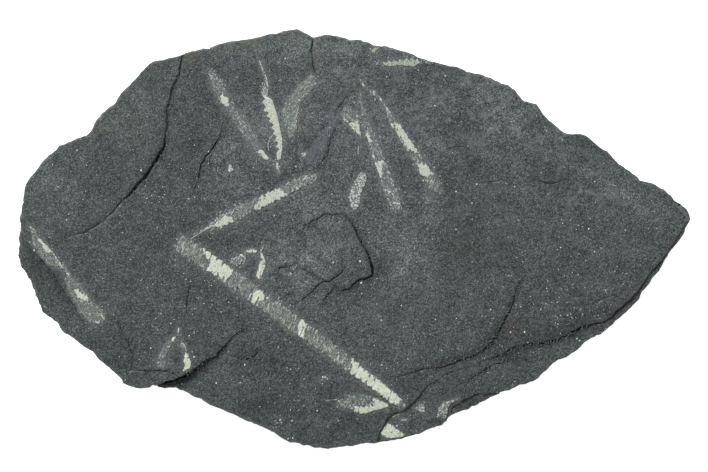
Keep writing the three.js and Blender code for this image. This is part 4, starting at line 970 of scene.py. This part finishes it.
# the longer threads, each a line of x and y in mm
THREADS = [
    [(-12.3, 15.6), (-12.95, 14.6), (-13.0, 13.95), (-12.85, 13.2)],
    [(-12.7, 11.85), (-12.1, 11.55), (-11.8, 12.0)], [(-18.4, 20.55), (-18.1, 20.25)],
    [(-17.3, 17.6), (-17.0, 17.0)], [(-16.7, 17.1), (-16.2, 16.6)],
    [(-24.55, 0.0), (-23.2, 0.9), (-21.9, 1.6)], [(-26.8, 0.1), (-26.2, -0.6)],
    [(-26.8, -1.5), (-26.2, -2.1)], [(-8.4, 19.9), (-8.6, 19.1)], [(-8.75, 18.65), (-9.1, 17.9)],
    [(-9.3, 17.4), (-9.6, 16.5)], [(-4.4, -24.2), (-3.6, -24.2), (-2.7, -24.1)],
    [(0.55, 13.9), (0.5, 12.6)], [(2.7, 28.0), (3.1, 28.5), (3.4, 28.9)],
    [(2.85, 27.9), (3.3, 28.4), (3.6, 28.7)],
]
# where short hairs are strewn: x, y, reach along and across in mm, bearing, how many, then the
# bearing that the hairs keep to and how far they stray from it
STREWN = [
    (-25.3, -1.4, 1.5, 0.9, -37, 34, 45, 90), (-17.2, -6.3, 1.5, 0.9, -37, 14, 65, 30),
    (-11.2, -10.8, 3.0, 0.9, -37, 42, 65, 30), (-4.5, -16.2, 3.2, 0.9, -37, 46, 65, 30),
    (-21.4, 1.2, 1.0, 0.6, 27, 14, 30, 60), (-18.3, 4.3, 2.2, 0.8, 27, 40, 60, 90),
    (-7.9, 8.4, 2.2, 0.8, 32, 30, 60, 90), (-9.1, 17.2, 2.2, 0.4, 62, 30, 60, 40),
    (-7.3, 22.6, 1.3, 0.7, 50, 18, 60, 60), (-16.8, 17.5, 0.8, 0.5, -58, 10, 0, 90),
    (-20.8, 23.8, 1.5, 0.5, -55, 18, -50, 60), (-13.5, 22.4, 1.0, 0.4, 97, 40, 80, 50),
    (-11.6, 11.3, 0.7, 0.3, 90, 6, 90, 60), (2.7, 21.3, 1.2, 0.5, -62, 10, 60, 90),
    (9.3, 12.3, 0.8, 0.6, -55, 14, 80, 30), (11.6, 8.2, 1.1, 0.6, -50, 24, 85, 30),
    (4.85, 10.6, 1.0, 0.5, -80, 14, -70, 30), (6.2, 6.1, 2.0, 0.5, -75, 26, 85, 40),
    (-1.2, 19.3, 0.7, 0.6, 0, 14, 60, 60), (0.6, 18.4, 0.9, 0.5, -60, 8, 60, 60),
    (-17.8, -3.4, 0.9, 0.7, 40, 18, 60, 60), (-28.8, -17.8, 1.2, 0.4, 70, 8, 60, 60),
    (-45.6, -2.4, 2.6, 0.5, -52, 30, 0, 90), (-40.3, -9.3, 2.8, 0.7, -52, 44, 0, 90),
    (-1.2, -24.9, 1.4, 0.6, 0, 22, 60, 60), (2.4, -24.2, 0.9, 0.5, -30, 10, 60, 60),
    (10.4, 26.6, 1.4, 0.3, -10, 16, 60, 90), (3.3, 26.4, 0.7, 0.5, 0, 14, 60, 90),
    (13.2, -25.8, 1.0, 0.7, 60, 22, 60, 90),
]
chance = random.Random(5)
hairs = [(line, 1.0) for line in THREADS]
for x, y, along, across, bearing, count, keep, stray in STREWN:
    turn = math.radians(bearing)
    for _ in range(count):
        far, wide = (chance.gauss(0, reach / STREW_SPREAD) for reach in (along, across))
        east = x + far * math.cos(turn) - wide * math.sin(turn)
        north = y + far * math.sin(turn) + wide * math.cos(turn)
        heading = math.radians(keep + chance.uniform(-stray, stray))
        reach = chance.uniform(*HAIR_REACH)
        run = (reach * math.cos(heading), reach * math.sin(heading))
        hair = [(east - run[0], north - run[1]), (east + run[0], north + run[1])]
        hairs.append((hair, chance.uniform(*HAIR_WIDTH)))
path = bpy.data.curves.new("stray_threads", "CURVE")
path.dimensions = "3D"
path.bevel_depth = THREAD * MM
path.bevel_resolution = 1
for line, thickness in hairs:
    thread = path.splines.new("POLY")
    thread.points.add(len(line) - 1)
    for point, (x, y) in zip(thread.points, line):
        point.co = (x * MM, y * MM, THREAD_LEVEL * MM, 1)
        point.radius = thickness
new_object("stray_threads", path)
bpy.ops.object.convert(target="MESH")
threads = bpy.context.active_object
swell(threads)
write_mask(threads, "edge_depth", np.full(len(threads.data.vertices), 1.0))
write_mask(threads, "bright_depth", np.full(len(threads.data.vertices), 0.1))
threads.data.materials.append(film_finish("stray_thread_film", 0, bright=(0.50, 0.535, 0.50, 1)))
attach(threads, "root")

# Crumbs of shale --------------------------------
# Grit of the same rock, wedged in the cracks and left along their lips and the feet of the steps.
CRUMBS_IN_CRACKS, CRUMBS_ON_LIPS = 450, 950
CRUMB_SIZES = (0.07, 0.24)  # the smallest and the largest radius, in mm
CRUMB_SHAPE = (1.0, 0.8, 0.6)
WEDGED = BED - 0.25  # the lowest that a crumb sits in a crack, in mm


def add_stone(place, radius, rotation, shape):
    bpy.ops.mesh.primitive_ico_sphere_add(
        subdivisions=1, radius=radius * MM, location=place, rotation=rotation, scale=shape
    )


chance = random.Random(3)
crumbs = new_object("shale_crumbs", bpy.data.meshes.new("shale_crumbs"))
bpy.ops.object.mode_set(mode="EDIT")
seats = chance.sample(list(np.flatnonzero(cracked)), CRUMBS_IN_CRACKS)
seats += chance.sample(list(np.flatnonzero(lips)), CRUMBS_ON_LIPS)
for index in seats:
    x, y, z = places[index]
    seat = Vector((x, y, max(z, WEDGED) if cracked[index] else z)) * MM
    radius = chance.uniform(*CRUMB_SIZES)
    add_stone(seat, radius, [chance.uniform(0, math.pi) for _ in range(3)], CRUMB_SHAPE)
bpy.ops.object.mode_set(mode="OBJECT")
crumbs.data.materials.append(shale_finish)
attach(crumbs, "root")

# Calcite grains ---------------------------------
# White crystals the size of fine sand that have come out of the veins and cling to the bed.
GRAINS = [
    (-21.9, 13.1, 0.16), (-9.1, 6.1, 0.1), (-44.5, 7.8, 0.12), (-40.2, 11.0, 0.1), (-28.8, 7.8, 0.1),
    (-31.2, 6.1, 0.12), (-24.9, 6.0, 0.12), (-42.9, 3.7, 0.12), (-23.4, 7.8, 0.1), (-45.3, 11.1, 0.09),
    (-24.6, -6.4, 0.1), (-21.5, -7.0, 0.12), (-22.6, -9.7, 0.12), (-18.9, -9.5, 0.12),
    (-27.6, -12.7, 0.14), (-30.6, -16.4, 0.14), (-24.1, -17.7, 0.2), (-16.5, -18.9, 0.16),
    (-17.2, -21.6, 0.12), (-14.2, -25.2, 0.1), (-11.2, -27.2, 0.15), (-11.0, -27.6, 0.12),
    (-9.4, -27.3, 0.14), (-10.0, -30.0, 0.14), (-9.3, -29.9, 0.14), (-8.4, -24.2, 0.1),
    (-4.8, -20.7, 0.14), (1.0, -6.6, 0.2), (18.3, 8.2, 0.16), (28.8, 16.2, 0.14), (7.0, -10.0, 0.12),
    (12.1, -12.1, 0.1), (13.0, -16.7, 0.1), (15.3, -11.9, 0.1), (19.1, -11.6, 0.1), (20.4, -10.6, 0.13),
    (24.9, -10.2, 0.14), (25.5, -14.0, 0.16), (23.4, -14.0, 0.14), (27.9, -10.6, 0.11),
    (30.5, -12.8, 0.13), (34.2, -11.3, 0.1), (33.4, -15.0, 0.16), (33.8, -15.3, 0.14),
    (20.0, -20.1, 0.1), (30.9, -1.3, 0.14), (35.1, 1.5, 0.14), (40.6, 1.3, 0.12), (37.6, -7.7, 0.15),
    (39.0, -4.9, 0.13), (30.4, -9.5, 0.13),
]
# where smaller grains are scattered: x, y, how far they spread in mm, and how many
SCATTERED = [
    (-25.0, 8.5, 4.0, 22), (-31.0, 6.0, 2.0, 8), (-23.0, -8.0, 3.0, 14), (-29.0, -13.5, 2.5, 14),
    (29.5, -10.0, 3.0, 26), (34.0, 1.5, 4.0, 18), (31.0, -13.5, 3.5, 18), (22.0, -18.0, 4.0, 14),
    (-9.5, -27.0, 3.0, 10), (-12.0, -21.5, 4.0, 8), (8.0, 7.0, 6.0, 10), (38.0, -6.0, 3.0, 8),
    (-2.0, -12.0, 4.0, 8), (15.0, -3.0, 8.0, 16),
]
SMALL_GRAINS = (0.06, 0.1)  # their smallest and largest radius, in mm
GRAIN_SHAPE = (1.0, 0.75, 0.6)
chance = random.Random(7)
crystals = list(GRAINS)
for x, y, spread, count in SCATTERED:
    for _ in range(count):
        at = chance.gauss(x, spread), chance.gauss(y, spread)
        crystals.append((*at, chance.uniform(*SMALL_GRAINS)))
grains = new_object("calcite_grains", bpy.data.meshes.new("calcite_grains"))
bpy.ops.object.mode_set(mode="EDIT")
for x, y, radius in crystals:
    hit, seat, _, _ = slab.ray_cast(Vector((x, y, 2 * BED)) * MM, Vector((0, 0, -1)))
    if hit:
        add_stone(seat, radius, (0, 0, chance.uniform(0, math.pi)), GRAIN_SHAPE)
bpy.ops.object.mode_set(mode="OBJECT")
calcite, surface = new_finish("calcite", {"Roughness": 0.5})
whiteness = ranged(noise(in_mm(calcite.node_tree), 0.6), 0.35, 0.65)
milky = blended(whiteness, (0.45, 0.48, 0.47, 1), (0.78, 0.80, 0.78, 1))
calcite.node_tree.links.new(milky, surface["Base Color"])
grains.data.materials.append(calcite)
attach(grains, "root")

# Floor and light --------------------------------
# A plain white table, lit from below as well as above, and a soft lamp at the upper left.
FLOOR_SIZE = 3.0  # in metres
TABLE_GLOW, SKY = 0.75, 0.45  # light that comes from the table and from all round
KEY_PLACE, KEY_SIZE, KEY_POWER = (-0.35, 0.38, 0.5), 0.25, 5.6  # in metres and watts
bpy.ops.object.select_all(action="DESELECT")
bpy.ops.mesh.primitive_plane_add(size=FLOOR_SIZE, location=(0, 0, 0))
floor = bpy.context.active_object
floor.name = "floor"
paper = {"Base Color": (0.9, 0.9, 0.9, 1), "Roughness": 1.0, "Specular IOR Level": 0.0}
paper.update({"Emission Color": (1, 1, 1, 1), "Emission Strength": TABLE_GLOW})
white_table, _ = new_finish("white_table", paper)
floor.data.materials.append(white_table)

key_data = bpy.data.lights.new("soft_key", "AREA")
key_data.shape = "DISK"
key_data.size = KEY_SIZE
key_data.energy = KEY_POWER
key = new_object("soft_key", key_data)
key.location = KEY_PLACE
key.rotation_euler = (-Vector(KEY_PLACE)).to_track_quat("-Z", "Y").to_euler()

world = bpy.data.worlds.new("studio")
bpy.context.scene.world = world
world.use_nodes = True
background = world.node_tree.nodes["Background"]
background.inputs["Color"].default_value = (1, 1, 1, 1)
background.inputs["Strength"].default_value = SKY
bpy.context.scene.view_settings.view_transform = "Standard"
